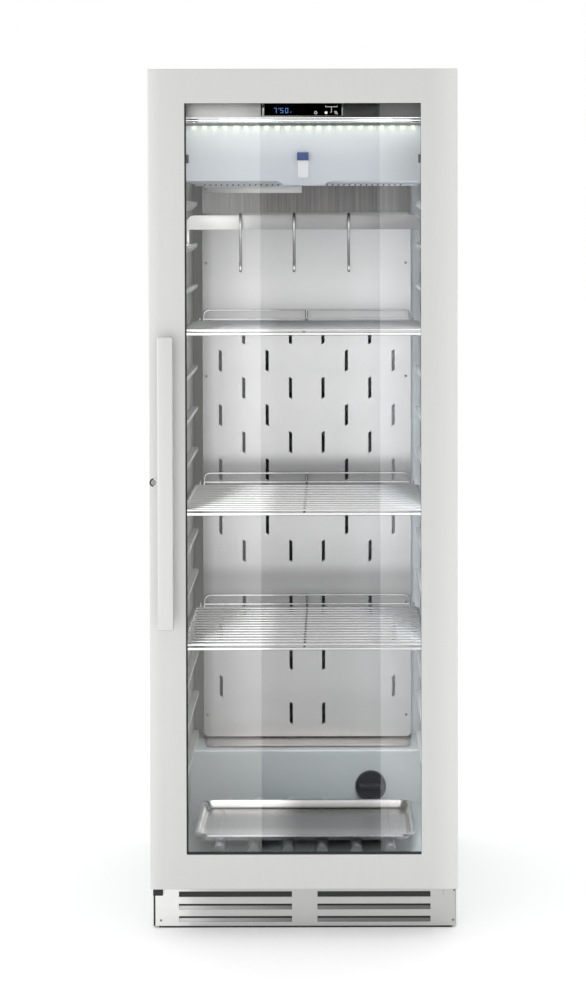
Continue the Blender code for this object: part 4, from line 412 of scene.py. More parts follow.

# %% [markdown]
# The outer sheets are sprayed, which leaves a faint orange peel, and the liner is vacuum formed from a
# plastic sheet. Some coats have a second, paler tint past a plane: painted light where light falls on the
# walls' ledges, on the rear wall's right half and on the top of the floor's step.


# %% Coats and plastics
def coated(name, tint, roughness, texture_size=1.5 * MILLIMETRE, bump=0.08, contrast=0.03, raised=None):
    """Paint or moulded plastic: one colour with a faint orange peel.

    raised is (axis, comparison, plane, tint) for painted light: what lies past a plane gets a paler tint, as
    a lit ledge, the lit top of a step or the lit side of a wall.
    """
    material, tree = new_material(name)
    place = add_node(tree, "ShaderNodeTexCoord").outputs["Object"]
    peel = add_node(tree, "ShaderNodeTexNoise", Vector=place, Scale=1 / texture_size, Detail=2.0)
    cloud = add_node(tree, "ShaderNodeTexNoise", Vector=place, Scale=5.0, Detail=2.0)
    darker, paler = ([min(value * level, 1.0) for value in colour(tint)[:3]] + [1.0]
                     for level in (1 - contrast, 1 + contrast))
    shade = add_node(tree, "ShaderNodeMix", MIX, Factor=cloud.outputs["Fac"], i6=darker, i7=paler).outputs[2]
    if raised:
        axis, comparison, plane, pale = raised
        apart = add_node(tree, "ShaderNodeSeparateXYZ", Vector=place)
        share = add_node(tree, "ShaderNodeMath", {"operation": comparison}, i0=apart.outputs[axis], i1=plane)
        shade = add_node(tree, "ShaderNodeMix", MIX, Factor=share.outputs[0], i6=shade,
                         i7=colour(pale)).outputs[2]
    relief = add_node(tree, "ShaderNodeBump", Height=peel.outputs["Fac"], Strength=bump,
                      Distance=0.3 * MILLIMETRE)
    shader = add_node(tree, "ShaderNodeBsdfPrincipled", Base_Color=shade, Roughness=roughness,
                      Normal=relief.outputs[0])
    add_node(tree, "ShaderNodeOutputMaterial", Surface=shader.outputs[0])
    return material


outer_coat = coated("satin_coated_sheet", "B9BCBD", 0.42)
housing_coat = coated("white_coated_housing", "DDE3E8", 0.40)
# Painted light and shade: the liner is one plastic, but its left wall is given a darker, duller tint and its
# right wall a paler one, by how the light falls on them. Each raised tint is painted light.
liner_skin = coated("vacuum_formed_liner", "B4BFC1", 0.24)
left_skin = coated("vacuum_formed_left_wall", "9B9991", 0.34,
                   raised=("X", "GREATER_THAN", -0.2492, "BEC0BA"))
right_skin = coated("vacuum_formed_right_wall", "CFD8DD", 0.34, raised=("X", "LESS_THAN", 0.2492, "ECF0F0"))
rear_skin = coated("vacuum_formed_rear", "B0B0AA", 0.34, raised=("X", "GREATER_THAN", 0.0, "D0D7DA"))
floor_skin = coated("vacuum_formed_floor", "B4BABA", 0.16, raised=("Z", "GREATER_THAN", 0.2470, "DEE4E4"))
black_metal = coated("black_painted_steel", "1C1C1D", 0.45)
# Besides real black parts, this black paints shade: plates, discs and strips put where there is only shade.
black_moulding_and_painted_shade = coated("black_plastic_and_painted_shade", "1B1B1C", 0.42)
cap_moulding = coated("charcoal_moulded_cap", "303136", 0.34)
black_gloss = coated("black_acrylic_panel", "08080A", 0.0, bump=0.0, contrast=0.02)
# Besides real seals, this black rubber paints shadow as strips in the gaps at the plinth and under the duct
# panel.
rubber_and_painted_shadow = coated("black_rubber_and_painted_shadow", "1D1E1F", 0.62)
grey_seal = coated("grey_magnetic_seal", "8C9092", 0.55)
channel_grey = coated("grey_anodised_channel", "565E5E", 0.4)
sensor_blue = coated("blue_abs_clip", "44588F", 0.35)
# This white also paints the highlight along the floor's step.
white_abs_and_highlight = coated("white_abs_sensor_and_painted_highlight", "FBFDFF", 0.32)
yellow_foam = coated("cut_polyurethane_foam", "96917C", 0.9, texture_size=3 * MILLIMETRE, bump=0.4)
print("coats made, materials now", len(bpy.data.materials))

# %% [markdown]
# Window glass is thin beside the door, so what is behind it doesn't shift. Each pane lets light
# straight through and adds a mirror image whose strength follows the angle, as real float glass does.
# A lamp's light has to pass as well, which this mix does and a refracting shader would not. The lit
# parts of the display and the printed keys give light of their own.


# %% Glass, display and lamp cover
def pane_glass(name, straight_share, edge_share):
    """A clear pane that mirrors a share of what is before it, which rises towards a flat angle."""
    material, tree = new_material(name)
    clear = add_node(tree, "ShaderNodeBsdfTransparent", Color=colour("FCFCFC"))
    mirror = add_node(tree, "ShaderNodeBsdfGlossy", Color=WHITE, Roughness=0.0)
    angle = add_node(tree, "ShaderNodeLayerWeight", Blend=0.25)
    share = add_node(tree, "ShaderNodeMapRange", Value=angle.outputs["Fresnel"], To_Min=straight_share,
                     To_Max=edge_share)
    mix = add_node(tree, "ShaderNodeMixShader", i0=share.outputs[0], i1=clear.outputs[0],
                   i2=mirror.outputs[0])
    add_node(tree, "ShaderNodeOutputMaterial", Surface=mix.outputs[0])
    return material


def glowing(name, tint, strength, mottle=0.1):
    """A surface that gives light, with a slight mottle as a printed or moulded lens has."""
    material, tree = new_material(name)
    level = strength
    if mottle:
        place = add_node(tree, "ShaderNodeTexCoord")
        noise = add_node(tree, "ShaderNodeTexNoise", Vector=place.outputs["Object"], Scale=900.0)
        level = add_node(tree, "ShaderNodeMapRange", Value=noise.outputs["Fac"],
                         To_Min=strength * (1 - mottle), To_Max=strength * (1 + mottle)).outputs[0]
    glow = add_node(tree, "ShaderNodeEmission", Color=colour(tint), Strength=level)
    add_node(tree, "ShaderNodeOutputMaterial", Surface=glow.outputs[0])
    return material


outer_pane = pane_glass("float_glass_outer", 0.030, 0.5)
inner_pane = pane_glass("float_glass_inner", 0.0, 0.3)
blue_glow = glowing("blue_display_segments", "7FACFA", 1.0)
white_print = glowing("white_printed_keys", "FFFFFF", 1.0)
lamp_cover = glowing("milky_lamp_cover", "F3F8FF", 2.0, mottle=0)
print("glass and lamp made")

# %% [markdown]
# ## Finishes on the construction's own pieces
#
# Every piece that keeps its shape from the construction takes its finish here. The list goes by
# finish, in the order of what is nearest to the viewer.

# %% Dress the construction
DRESS = (
    (door_steel, ("door_frame",)),
    (handle_steel, ("handle",)),
    (outer_pane, ("outer_glass",)),
    (inner_pane, ("inner_glass",)),
    (rubber_and_painted_shadow, ("glazing_gasket", "glass_spacer")),
    (grey_seal, ("door_gasket",)),
    (core_steel, ("lock_core", "lock_body")),
    (wire_steel, ("lock_strike", "shelf_top", "shelf_middle", "shelf_bottom",
                  "hook_left", "hook_centre", "hook_right")),
    (tray_steel, ("tray",)),
    (panel_steel, ("rear_duct_panel",)),
    (cover_steel, ("fan_cover_panel",)),
    (fascia_steel, ("control_fascia",)),
    (plinth_steel, ("plinth_grille",)),
    (rail_steel, ("hanging_rail",)),
    (alloy, ("lamp_profile", "evaporator_coil", "condenser")),
    (outer_coat, ("side_panel_left", "side_panel_right", "top_panel", "rear_panel", "rear_grille",
                  "front_frame")),
    (housing_coat, ("evaporator_housing",)),
    (left_skin, ("liner_left",)),
    (right_skin, ("liner_right",)),
    (rear_skin, ("liner_rear",)),
    (liner_skin, ("liner_top", "liner_floor", "door_inner_frame")),
    (black_metal, ("base_frame", "compressor", "condenser_shroud", "fan_bracket")),
    (plinth_steel, ("top_hinge_bracket", "bottom_hinge_bracket")),
    (black_moulding_and_painted_shade, ("filter_cap", "evaporator_fan", "condenser_fan", "evaporation_pan", "power_inlet",
                      "hinge_hole_plug", "foot_front_left", "foot_front_right", "foot_rear_left",
                      "foot_rear_right")),
    (black_gloss, ("control_display",)),
    (white_abs_and_highlight, ("humidity_sensor",)),
    (yellow_foam, ("insulation",)),
    (lamp_cover, ("lamp_strip",)),
)
dressed = set()
for finish, names in DRESS:
    for name in names:
        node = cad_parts[name]
        node.data.materials.clear()
        node.data.materials.append(finish)
        dressed.add(name)
print("dressed", len(dressed), "of", len(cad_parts), "missing", sorted(set(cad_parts) - dressed))

# %% [markdown]
# ## Modelling helpers
#
# New pieces are made the way one works by hand: add a primitive, go to edit mode, pick faces or edges
# by where they are, then extrude, inset or bevel. Every helper starts by deselecting all, because the
# loaded construction is selected.


# %% Pick, settle and copy pieces
def pick(*pieces):
    """Selects only these pieces and makes the first of them the active one."""
    bpy.ops.object.select_all(action="DESELECT")
    for piece in pieces:
        piece.select_set(True)
    bpy.context.view_layer.objects.active = pieces[0]


def settle(piece, name, body, slot, finish, *replaces):
    """Names a finished piece, moves its place into its mesh and ties it to its body."""
    pick(piece)
    bpy.ops.object.transform_apply(location=True, rotation=True, scale=True)
    piece.name = name
    piece.data.materials.clear()
    piece.data.materials.append(finish)
    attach(piece, body)
    for node in replaces:
        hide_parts(node)
    return piece


def joined(pieces):
    """Pieces joined to one object."""
    pick(*pieces)
    if len(pieces) > 1:
        bpy.ops.object.join()
    return bpy.context.object


def copy_moved(piece, by):
    """A copy of a piece, with its own mesh, moved by a distance."""
    pick(piece)
    bpy.ops.object.duplicate(linked=False)
    bpy.ops.transform.translate(value=by)
    bpy.ops.object.transform_apply(location=True, rotation=False, scale=False)
    return bpy.context.object


def repeat(pattern, like, ending, slot, finish):
    """Sets a pattern made for the first of like, a list of (node, body), in the place of each of them."""
    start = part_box(like[0][0])[0]
    copies = [copy_moved(pattern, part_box(node)[0] - start) for node, body in like[1:]]
    for (node, body), piece in zip(like, [pattern, *copies]):
        settle(piece, node + ending, body, slot, finish, node)
        print(piece.name, len(piece.data.polygons), "faces")


# %% [markdown]
# Most pieces start as a block or a round bar. In edit mode their faces, edges or points are chosen by a
# test, such as the way a face looks, and then moved, inset or bevelled. A bevel over all sharp edges
# comes last, because no real edge is perfectly sharp.


# %% Shape blocks and bars
def block(x, y, z):
    """A box between two values along each axis."""
    bpy.ops.object.select_all(action="DESELECT")
    bpy.ops.mesh.primitive_cube_add(size=1, location=[(low + high) / 2 for low, high in (x, y, z)])
    piece = bpy.context.object
    piece.scale = [high - low for low, high in (x, y, z)]
    bpy.ops.object.transform_apply(location=True, rotation=True, scale=True)
    return piece


def disc(centre, radius, length, axis="Y", sides=48):
    """A round bar with its middle at centre, along an axis."""
    turn = {"X": (0, math.pi / 2, 0), "Y": (math.pi / 2, 0, 0)}[axis]
    bpy.ops.object.select_all(action="DESELECT")
    bpy.ops.mesh.primitive_cylinder_add(vertices=sides, radius=radius, depth=length, location=centre,
                                        rotation=turn)
    bpy.ops.object.transform_apply(location=True, rotation=True, scale=True)
    return bpy.context.object


def edit(piece, kind, chosen):
    """Opens edit mode with the points, edges or faces selected for which chosen(...) is true."""
    pick(piece)
    bpy.ops.object.mode_set(mode="EDIT")
    bpy.ops.mesh.select_mode(type=kind)
    bpy.ops.mesh.select_all(action="DESELECT")
    shape = bmesh.from_edit_mesh(piece.data)
    shape.normal_update()
    for item in {"FACE": shape.faces, "EDGE": shape.edges, "VERT": shape.verts}[kind]:
        item.select_set(bool(chosen(item)))
    shape.select_flush_mode()
    bmesh.update_edit_mesh(piece.data)


def leave():
    """Closes edit mode."""
    bpy.ops.object.mode_set(mode="OBJECT")
    return bpy.context.object


def shift(piece, chosen, by):
    """Moves the chosen points of a piece."""
    edit(piece, "VERT", chosen)
    bpy.ops.transform.translate(value=by)
    return leave()


def inset(piece, direction, *steps, share=0.9):
    """Insets the faces that look along a direction, once for each step of (inwards, outwards)."""
    edit(piece, "FACE", lambda face: face.normal.dot(Vector(direction)) > share)
    for inwards, outwards in steps:
        bpy.ops.mesh.inset(thickness=inwards, depth=outwards)
    return leave()


def round_edges(piece, axis, width, segments, where=lambda point: True):
    """Bevels the edges that run along an axis (0, 1 or 2) and lie where both ends pass a test."""
    edit(piece, "EDGE", lambda edge: all(where(end.co) for end in edge.verts) and all(
        abs(edge.verts[0].co[other] - edge.verts[1].co[other]) < NEAR for other in {0, 1, 2} - {axis}))
    bpy.ops.mesh.bevel(offset=width, segments=segments)
    return leave()


def soften(piece, width, segments=3, angle=0.5):
    """Rounds a piece's sharp edges with a bevel that is applied, and shades it smooth."""
    bevel = piece.modifiers.new("rounding", "BEVEL")
    bevel.width = width
    bevel.segments = segments
    bevel.limit_method = "ANGLE"
    bevel.angle_limit = angle
    pick(piece)
    bpy.ops.object.modifier_apply(modifier=bevel.name)
    bpy.ops.object.shade_smooth_by_angle(angle=math.radians(35))
    return piece


NEAR = 0.3 * MILLIMETRE
print("helpers for blocks and bars ready")

# %% [markdown]
# A wire is drawn as a path, as a bending machine is told to: straight runs with a radius at each
# corner. The path gets a round section, and it is made a mesh whose doubled points are merged.


# %% Bend wires
def round_corners(points, radius, steps=6, closed=False):
    """A path whose corners are rounded to a radius."""
    corners = [Vector(point) for point in points]
    count = len(corners)
    path = []
    for number, corner in enumerate(corners):
        if not closed and number in (0, count - 1):
            path.append(corner)
            continue
        back = corners[number - 1] - corner
        ahead = corners[(number + 1) % count] - corner
        angle = back.angle(ahead)
        reach = min(radius / math.tan(angle / 2), back.length * 0.499, ahead.length * 0.499)
        start, end = corner + back.normalized() * reach, corner + ahead.normalized() * reach
        for step in range(steps + 1):
            share = step / steps
            path.append(start.lerp(corner, share).lerp(corner.lerp(end, share), share))
    return path


def rod(path, radius, closed=False, fineness=3):
    """A round wire along a path, as a mesh."""
    curve = bpy.data.curves.new("wire", "CURVE")
    curve.dimensions = "3D"
    curve.bevel_depth = radius
    curve.bevel_resolution = fineness
    curve.use_fill_caps = not closed
    line = curve.splines.new("POLY")
    line.points.add(len(path) - 1)
    for point, place in zip(line.points, path):
        point.co = (*place, 1)
    line.use_cyclic_u = closed
    wire = bpy.data.objects.new("wire", curve)
    bpy.context.scene.collection.objects.link(wire)
    pick(wire)
    bpy.ops.object.convert(target="MESH")
    bpy.ops.object.mode_set(mode="EDIT")
    bpy.ops.mesh.select_all(action="SELECT")
    bpy.ops.mesh.remove_doubles(threshold=MERGE)
    bpy.ops.mesh.normals_make_consistent(inside=False)
    leave()
    bpy.ops.object.shade_smooth_by_angle(angle=math.radians(50))
    return bpy.context.object


MERGE = 0.01 * MILLIMETRE
print("helpers for wires ready")

# %% [markdown]
# ## Wire shelves
#
# A fridge shelf is welded from stainless wire. A thick wire is bent to a frame, thin ones are laid
# across it, and a hoop at the back keeps food from touching the rear wall. At both rear corners a
# short wire stands up: it stops the shelf before it can be pulled right out. Straight wires are
# modelled once and copied across, and the bent ones are paths with rounded corners.

# %% Sizes of the shelf
FRAME_WIRE = 3.0 * MILLIMETRE
CROSS_WIRE = 2.0 * MILLIMETRE
CENTRE_WIRE = 2.5 * MILLIMETRE
WELD = 0.8 * MILLIMETRE
CROSS_WIRES = 15
FRAME_CORNER = 12 * MILLIMETRE
FRONT_RISE = 7.5 * MILLIMETRE
FRONT_RUN = 20 * MILLIMETRE
GUARD_INSET = 17.5 * MILLIMETRE
GUARD_HEIGHT = 28 * MILLIMETRE
GUARD_LOWER = 8.5 * MILLIMETRE
GUARD_CORNER = 14 * MILLIMETRE
STOP_HEIGHT = 11 * MILLIMETRE
STOP_INSET = 9 * MILLIMETRE
print("cross wires on each shelf:", CROSS_WIRES)

# %% [markdown]
# One cross wire gets blunt ends and is copied fourteen times. The finished shelf is copied too: the
# three in the cabinet are the same part on three pairs of ledges.


# %% Weld the shelves
def wire_shelf(node):
    """A welded shelf that stands where a plain one is."""
    low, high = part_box(node)
    half = high.x - FRAME_WIRE
    front, rear = low.y + FRAME_WIRE, high.y - FRAME_WIRE
    seat = low.z + FRAME_WIRE
    rise = seat + FRAME_WIRE + CROSS_WIRE - WELD
    frame_path = round_corners([(-half, front, seat), (half, front, seat), (half, rear, seat),
                                (-half, rear, seat)], FRAME_CORNER, closed=True)
    wires = [rod(frame_path, FRAME_WIRE, closed=True, fineness=4)]
    pitch = (rear - front) / (CROSS_WIRES + 1)
    cross_wire = disc((0, front + pitch, rise), CROSS_WIRE, 2 * half + CROSS_WIRE, "X", 12)
    wires.append(soften(cross_wire, WELD / 2, 2))
    wires += [copy_moved(cross_wire, (0, number * pitch, 0)) for number in range(1, CROSS_WIRES)]
    guard = half - GUARD_INSET
    top = seat + GUARD_HEIGHT
    hoop = [(-guard, rear, seat), (-guard, rear, top), (guard, rear, top), (guard, rear, seat)]
    wires.append(rod(round_corners(hoop, GUARD_CORNER), CROSS_WIRE))
    wires.append(disc((0, rear, seat + GUARD_LOWER), CROSS_WIRE, 2 * guard, "X", 12))
    spine = [(0, front, seat), (0, rear - FRONT_RUN, seat), (0, rear, seat + CENTRE_WIRE * 3),
             (0, rear, top)]
    wires.append(rod(round_corners(spine, FRAME_CORNER / 2), CENTRE_WIRE))
    raised = [(-half, front + FRONT_RUN, seat), (-half, front + CROSS_WIRE, seat + FRONT_RISE),
              (half, front + CROSS_WIRE, seat + FRONT_RISE), (half, front + FRONT_RUN, seat)]
    wires.append(rod(round_corners(raised, FRAME_CORNER / 2), CROSS_WIRE))
    for side in (-1, 1):
        stop = side * (half - STOP_INSET)
        stop_path = [(side * half, rear - FRAME_CORNER, seat), (stop, rear, seat + CROSS_WIRE),
                     (stop, rear, seat + STOP_HEIGHT)]
        wires.append(rod(round_corners(stop_path, CROSS_WIRE * 2), CROSS_WIRE))
    shelf = joined(wires)
    bpy.ops.object.shade_smooth_by_angle(angle=math.radians(50))
    return shelf


SHELVES = (("shelf_top", "top_shelf"), ("shelf_middle", "middle_shelf"), ("shelf_bottom", "bottom_shelf"))
repeat(wire_shelf("shelf_top"), SHELVES, "_wires", "bright_steel", wire_steel)

# %% [markdown]
# ## Hooks
#
# A butcher's S-hook is one wire bent twice over a round former, with its ends cut and tumbled blunt.
# It hangs over the rail by the upper bend, so the path starts at the tail behind the rail.

# %% Bend the hooks
HOOK_WIRE = 2.7 * MILLIMETRE
HOOK_BEND = 9 * MILLIMETRE
HOOK_STEPS = 16
HOOK_STRAIGHT = 24 * MILLIMETRE
HOOK_TAIL = 8 * MILLIMETRE


def hook(node):
    """An S-hook of round wire in the place of a plain one."""
    low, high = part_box(node)
    centre = (low + high) / 2
    upper = high.z - HOOK_WIRE - HOOK_BEND - centre.z
    half = [Vector((0, HOOK_BEND, upper - HOOK_TAIL))]
    for step in range(HOOK_STEPS + 1):
        angle = math.pi * step / HOOK_STEPS
        half.append(Vector((0, HOOK_BEND * math.cos(angle), upper + HOOK_BEND * math.sin(angle))))
    half.append(Vector((0, -HOOK_BEND, upper - HOOK_STRAIGHT)))
    other_half = [Vector((0, -point.y, -point.z)) for point in reversed(half)]
    wire = rod([centre + point for point in half + other_half], HOOK_WIRE, fineness=6)
    return soften(wire, HOOK_WIRE / 3, 3, math.radians(70))


HOOKS = (("hook_left", "left_hook"), ("hook_centre", "centre_hook"), ("hook_right", "right_hook"))
repeat(hook("hook_left"), HOOKS, "_wire", "bright_steel", hook_steel)

# %% [markdown]
# ## Tray
#
# The drip tray is pressed from one sheet in a single stroke: a flat floor, rounded corners, walls that
# lean out so it leaves the tool, and a rim turned down so no edge is sharp. Here the outline is a plane
# with bevelled corners, and each inset takes the face a step inwards and up or down, as the die does.

# %% Press the tray
TRAY_SHEET = 1.0 * MILLIMETRE
TRAY_CORNER = 30 * MILLIMETRE
TRAY_RIM_DROP = 4.0 * MILLIMETRE
TRAY_STEPS = (
    (0.4, 3.0), (0.6, 0.8), (1.0, 0.2), (5.2, 0.0), (1.0, -0.3), (0.8, -0.9), (5.0, -11.6), (1.2, -1.6),
    (2.0, -1.0), (4.0, -0.3),
)
BEAD_X = 0.170
BEAD_END = 22 * MILLIMETRE
BEAD_RADIUS = 1.3 * MILLIMETRE
TRAY_LOW, TRAY_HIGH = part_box("tray")
rim_z = TRAY_HIGH.z - TRAY_RIM_DROP
bpy.ops.object.select_all(action="DESELECT")
bpy.ops.mesh.primitive_plane_add(size=1, location=(0, (TRAY_LOW.y + TRAY_HIGH.y) / 2, rim_z))
tray = bpy.context.object
tray.scale = (TRAY_HIGH.x - TRAY_LOW.x, TRAY_HIGH.y - TRAY_LOW.y, 1)
bpy.ops.object.transform_apply(location=True, rotation=True, scale=True)
edit(tray, "VERT", lambda point: True)
bpy.ops.mesh.bevel(offset=TRAY_CORNER, segments=10, affect="VERTICES")
bpy.ops.mesh.select_all(action="SELECT")
for inward, rise in TRAY_STEPS:
    bpy.ops.mesh.inset(thickness=inward * MILLIMETRE, depth=rise * MILLIMETRE, use_even_offset=True)
leave()
sheet = tray.modifiers.new("sheet", "SOLIDIFY")
sheet.thickness = TRAY_SHEET
sheet.offset = -1
bpy.ops.object.modifier_apply(modifier=sheet.name)
bpy.ops.object.shade_smooth_by_angle(angle=math.radians(40))
floor_z = rim_z + sum(rise for _, rise in TRAY_STEPS) * MILLIMETRE
bead_ends = (TRAY_LOW.y + BEAD_END, TRAY_HIGH.y - BEAD_END)
beads = [rod([(side * BEAD_X, depth, floor_z) for depth in bead_ends], BEAD_RADIUS) for side in (-1, 1)]
tray = joined([tray, *beads])
settle(tray, "pressed_tray", "drip_tray", "bright_steel", tray_steel, "tray")
print("tray floor at", round(floor_z, 4), "rim at", round(TRAY_HIGH.z, 4))

# %% [markdown]
# ## Handle
#
# The pull is a flat stainless bar on two short posts that are screwed to the door's stile from inside.
# Its long edges are rounded so that it feels soft in the hand. Round edges are also what shows that a
# thing is metal: each catches a thin bright line.

# %% Make the handle
HANDLE_LOW, HANDLE_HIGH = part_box("handle")
HANDLE_THICK = 14 * MILLIMETRE
HANDLE_ROUND = 3.5 * MILLIMETRE
POST_WIDTH = 16 * MILLIMETRE
POST_HEIGHT = 40 * MILLIMETRE
POST_INSET = 20 * MILLIMETRE
POST_ROUND = 1.5 * MILLIMETRE
bar = block((HANDLE_LOW.x, HANDLE_HIGH.x), (HANDLE_LOW.y, HANDLE_LOW.y + HANDLE_THICK),
            (HANDLE_LOW.z, HANDLE_HIGH.z))
soften(bar, HANDLE_ROUND, 6)
handle_middle = (HANDLE_LOW.x + HANDLE_HIGH.x) / 2
post_low = HANDLE_LOW.z + POST_INSET
post = block((handle_middle - POST_WIDTH / 2, handle_middle + POST_WIDTH / 2),
             (HANDLE_LOW.y + HANDLE_THICK / 2, HANDLE_HIGH.y), (post_low, post_low + POST_HEIGHT))
soften(post, POST_ROUND, 3)
other_post = copy_moved(post, (0, 0, HANDLE_HIGH.z - HANDLE_LOW.z - 2 * POST_INSET - POST_HEIGHT))
handle = joined([bar, post, other_post])
settle(handle, "bar_handle", "door", "satin_steel", handle_steel, "handle")
print("handle", len(handle.data.polygons), "faces")

# %% [markdown]
# ## Lock
#
# A cam lock has a turned collar with a rounded rim round the core. It is polished, and its tint is a painted
# reflection: dark where it would mirror the dark end of the room at its left, white where it would mirror the
# lamp at its right. A tube is a bar whose end faces are inset and taken out, with the two edges bridged to an
# inner wall.


# %% Turn the lock's collar
def hollow(bar, wall):
    """Opens a bar through its front and rear faces and leaves a wall round it."""
    for direction in (-1, 1):
        edit(bar, "FACE", lambda face: face.normal.y * direction > 0.9)
        bpy.ops.mesh.inset(thickness=wall)
        bpy.ops.mesh.delete(type="FACE")
        leave()
    edit(bar, "EDGE", lambda edge: edge.is_boundary)
    bpy.ops.mesh.bridge_edge_loops()
    bpy.ops.mesh.select_all(action="SELECT")
    bpy.ops.mesh.normals_make_consistent(inside=False)
    return leave()


def tube(centre, radius, wall, start, end, sides=48):
    """An open tube along Y round a point (x, z)."""
    return hollow(disc((centre[0], (start + end) / 2, centre[1]), radius, end - start, sides=sides), wall)


LOCK_LOW, LOCK_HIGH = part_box("lock_body")
COLLAR_WALL = 2.2 * MILLIMETRE
COLLAR_THICK = 1.7 * MILLIMETRE
COLLAR_ROUND = 0.7 * MILLIMETRE
BARREL_INSET = 1.0 * MILLIMETRE
lock_middle = ((LOCK_LOW.x + LOCK_HIGH.x) / 2, (LOCK_LOW.z + LOCK_HIGH.z) / 2)
lock_radius = (LOCK_HIGH.x - LOCK_LOW.x) / 2
collar = tube(lock_middle, lock_radius, COLLAR_WALL, LOCK_LOW.y, LOCK_LOW.y + COLLAR_THICK)
soften(collar, COLLAR_ROUND, 4)
barrel = tube(lock_middle, lock_radius - BARREL_INSET, COLLAR_WALL - BARREL_INSET,
              LOCK_LOW.y + COLLAR_THICK / 2, LOCK_HIGH.y, 32)
settle(joined([collar, barrel]), "lock_collar", "door", "bright_steel", lock_steel, "lock_body")
print("lock collar", len(collar.data.polygons), "faces")

# %% [markdown]
# ## Door lining and cavity floor
#
# The opening behind the glass is lined with a thin frame, which hardly shows. The cavity's floor is
# vacuum formed, and such a sheet can't turn sharply: its step has a round edge that catches the light.
# The floor is taken from the construction as a copy, its triangles are merged back to faces, and the
# step's edge is bevelled.

# %% Line the door and round the step
LINING_WALL = 3.0 * MILLIMETRE
LINING_ROUND = 1.0 * MILLIMETRE
lining = soften(hollow(block(*zip(WINDOW_LOW, WINDOW_HIGH)), LINING_WALL), LINING_ROUND, 2)
settle(lining, "door_lining", "door", "liner_plastic", liner_skin, "door_inner_frame")

SEAL_LOW, SEAL_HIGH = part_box("glazing_gasket")
SEAL_LEFT = -0.2240
SEAL_RIGHT = 0.2266
SEAL_TOP = 1.6140
SEAL_BOTTOM = 0.1670
seal_wall = SEAL_LEFT - SEAL_LOW.x
pane_seal = hollow(block(*zip(SEAL_LOW, SEAL_HIGH)), seal_wall)
for axis, inner, wanted in ((0, SEAL_HIGH.x - seal_wall, SEAL_RIGHT), (2, SEAL_HIGH.z - seal_wall, SEAL_TOP),
                            (2, SEAL_LOW.z + seal_wall, SEAL_BOTTOM)):
    by = Vector()
    by[axis] = wanted - inner
    shift(pane_seal, lambda point: abs(point.co[axis] - inner) < NEAR, by)
settle(pane_seal, "pane_seal", "door", "rubber", rubber_and_painted_shadow, "glazing_gasket")
print("seal", [round(value, 4) for value in SEAL_LOW], [round(value, 4) for value in SEAL_HIGH])

FLOOR_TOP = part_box("liner_floor")[1].z
STEP_Y = DOOR_FACE + 0.455
STEP_ROUND = 7 * MILLIMETRE
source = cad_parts["liner_floor"]
cavity_floor = bpy.data.objects.new("cavity_floor", source.data.copy())
bpy.context.scene.collection.objects.link(cavity_floor)
cavity_floor.matrix_world = source.matrix_world.copy()
settle(cavity_floor, "cavity_floor", "cabinet", "liner_plastic", floor_skin, "liner_floor")
edit(cavity_floor, "VERT", lambda point: True)
bpy.ops.mesh.remove_doubles(threshold=MERGE)
bpy.ops.mesh.dissolve_limited(angle_limit=math.radians(1))
leave()
round_edges(cavity_floor, 0, STEP_ROUND, 6,
            lambda point: abs(point.y - STEP_Y) < NEAR and abs(point.z - FLOOR_TOP) < NEAR)
bpy.ops.object.shade_smooth_by_angle(angle=math.radians(40))
print("cavity floor", len(cavity_floor.data.polygons), "faces")

# %% [markdown]
# ## Duct panel
#
# The panel is a sheet with a flange at either side. Its slots are punched with rounded slanted ends,
# and each end runs down towards the panel's middle. The middles of the ends are read from the
# construction, so each slot stays in its place. All the punches are joined and cut out at once.

# %% Punch the duct panel
DUCT_LOW, DUCT_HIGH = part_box("rear_duct_panel")
DUCT_SHEET = 1.5 * MILLIMETRE
DUCT_CORNER = 12 * MILLIMETRE
DUCT_SLOT_WIDTH = 7.0 * MILLIMETRE
DUCT_SLOT_ROUND = 1.3 * MILLIMETRE
END_RISE = 3.6 * MILLIMETRE
END_LIMIT = 8 * MILLIMETRE
SLOT_MARGIN = 30 * MILLIMETRE


def slot_ends(node):
    """The middles of the slanted ends of a panel's slots, as (x, z), column by column."""
    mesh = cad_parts[node].data
    ends = set()
    for edge in mesh.edges:
        first, second = (mesh.vertices[number].co for number in edge.vertices)
        run, middle = second - first, (first + second) / 2
        slanted = abs(run.y) < NEAR and all(NEAR < abs(part) < END_LIMIT for part in (run.x, run.z))
        if slanted and abs(middle.x) < DUCT_HIGH.x - SLOT_MARGIN:
            ends.add((round(middle.x, 4), round(middle.z, 4)))
    return sorted(ends)


def punch(across, low, high):
    """A punch for one slot, whose side towards the panel's edge is higher than the other."""
    tool = block((across - DUCT_SLOT_WIDTH / 2, across + DUCT_SLOT_WIDTH / 2),
                 (DUCT_LOW.y - DUCT_SHEET, DUCT_LOW.y + 2 * DUCT_SHEET),
                 (low - END_RISE / 2, high - END_RISE / 2))
    shift(tool, lambda point: abs(point.co.x) > abs(across), (0, 0, END_RISE))
    return round_edges(tool, 1, DUCT_SLOT_ROUND, 3)


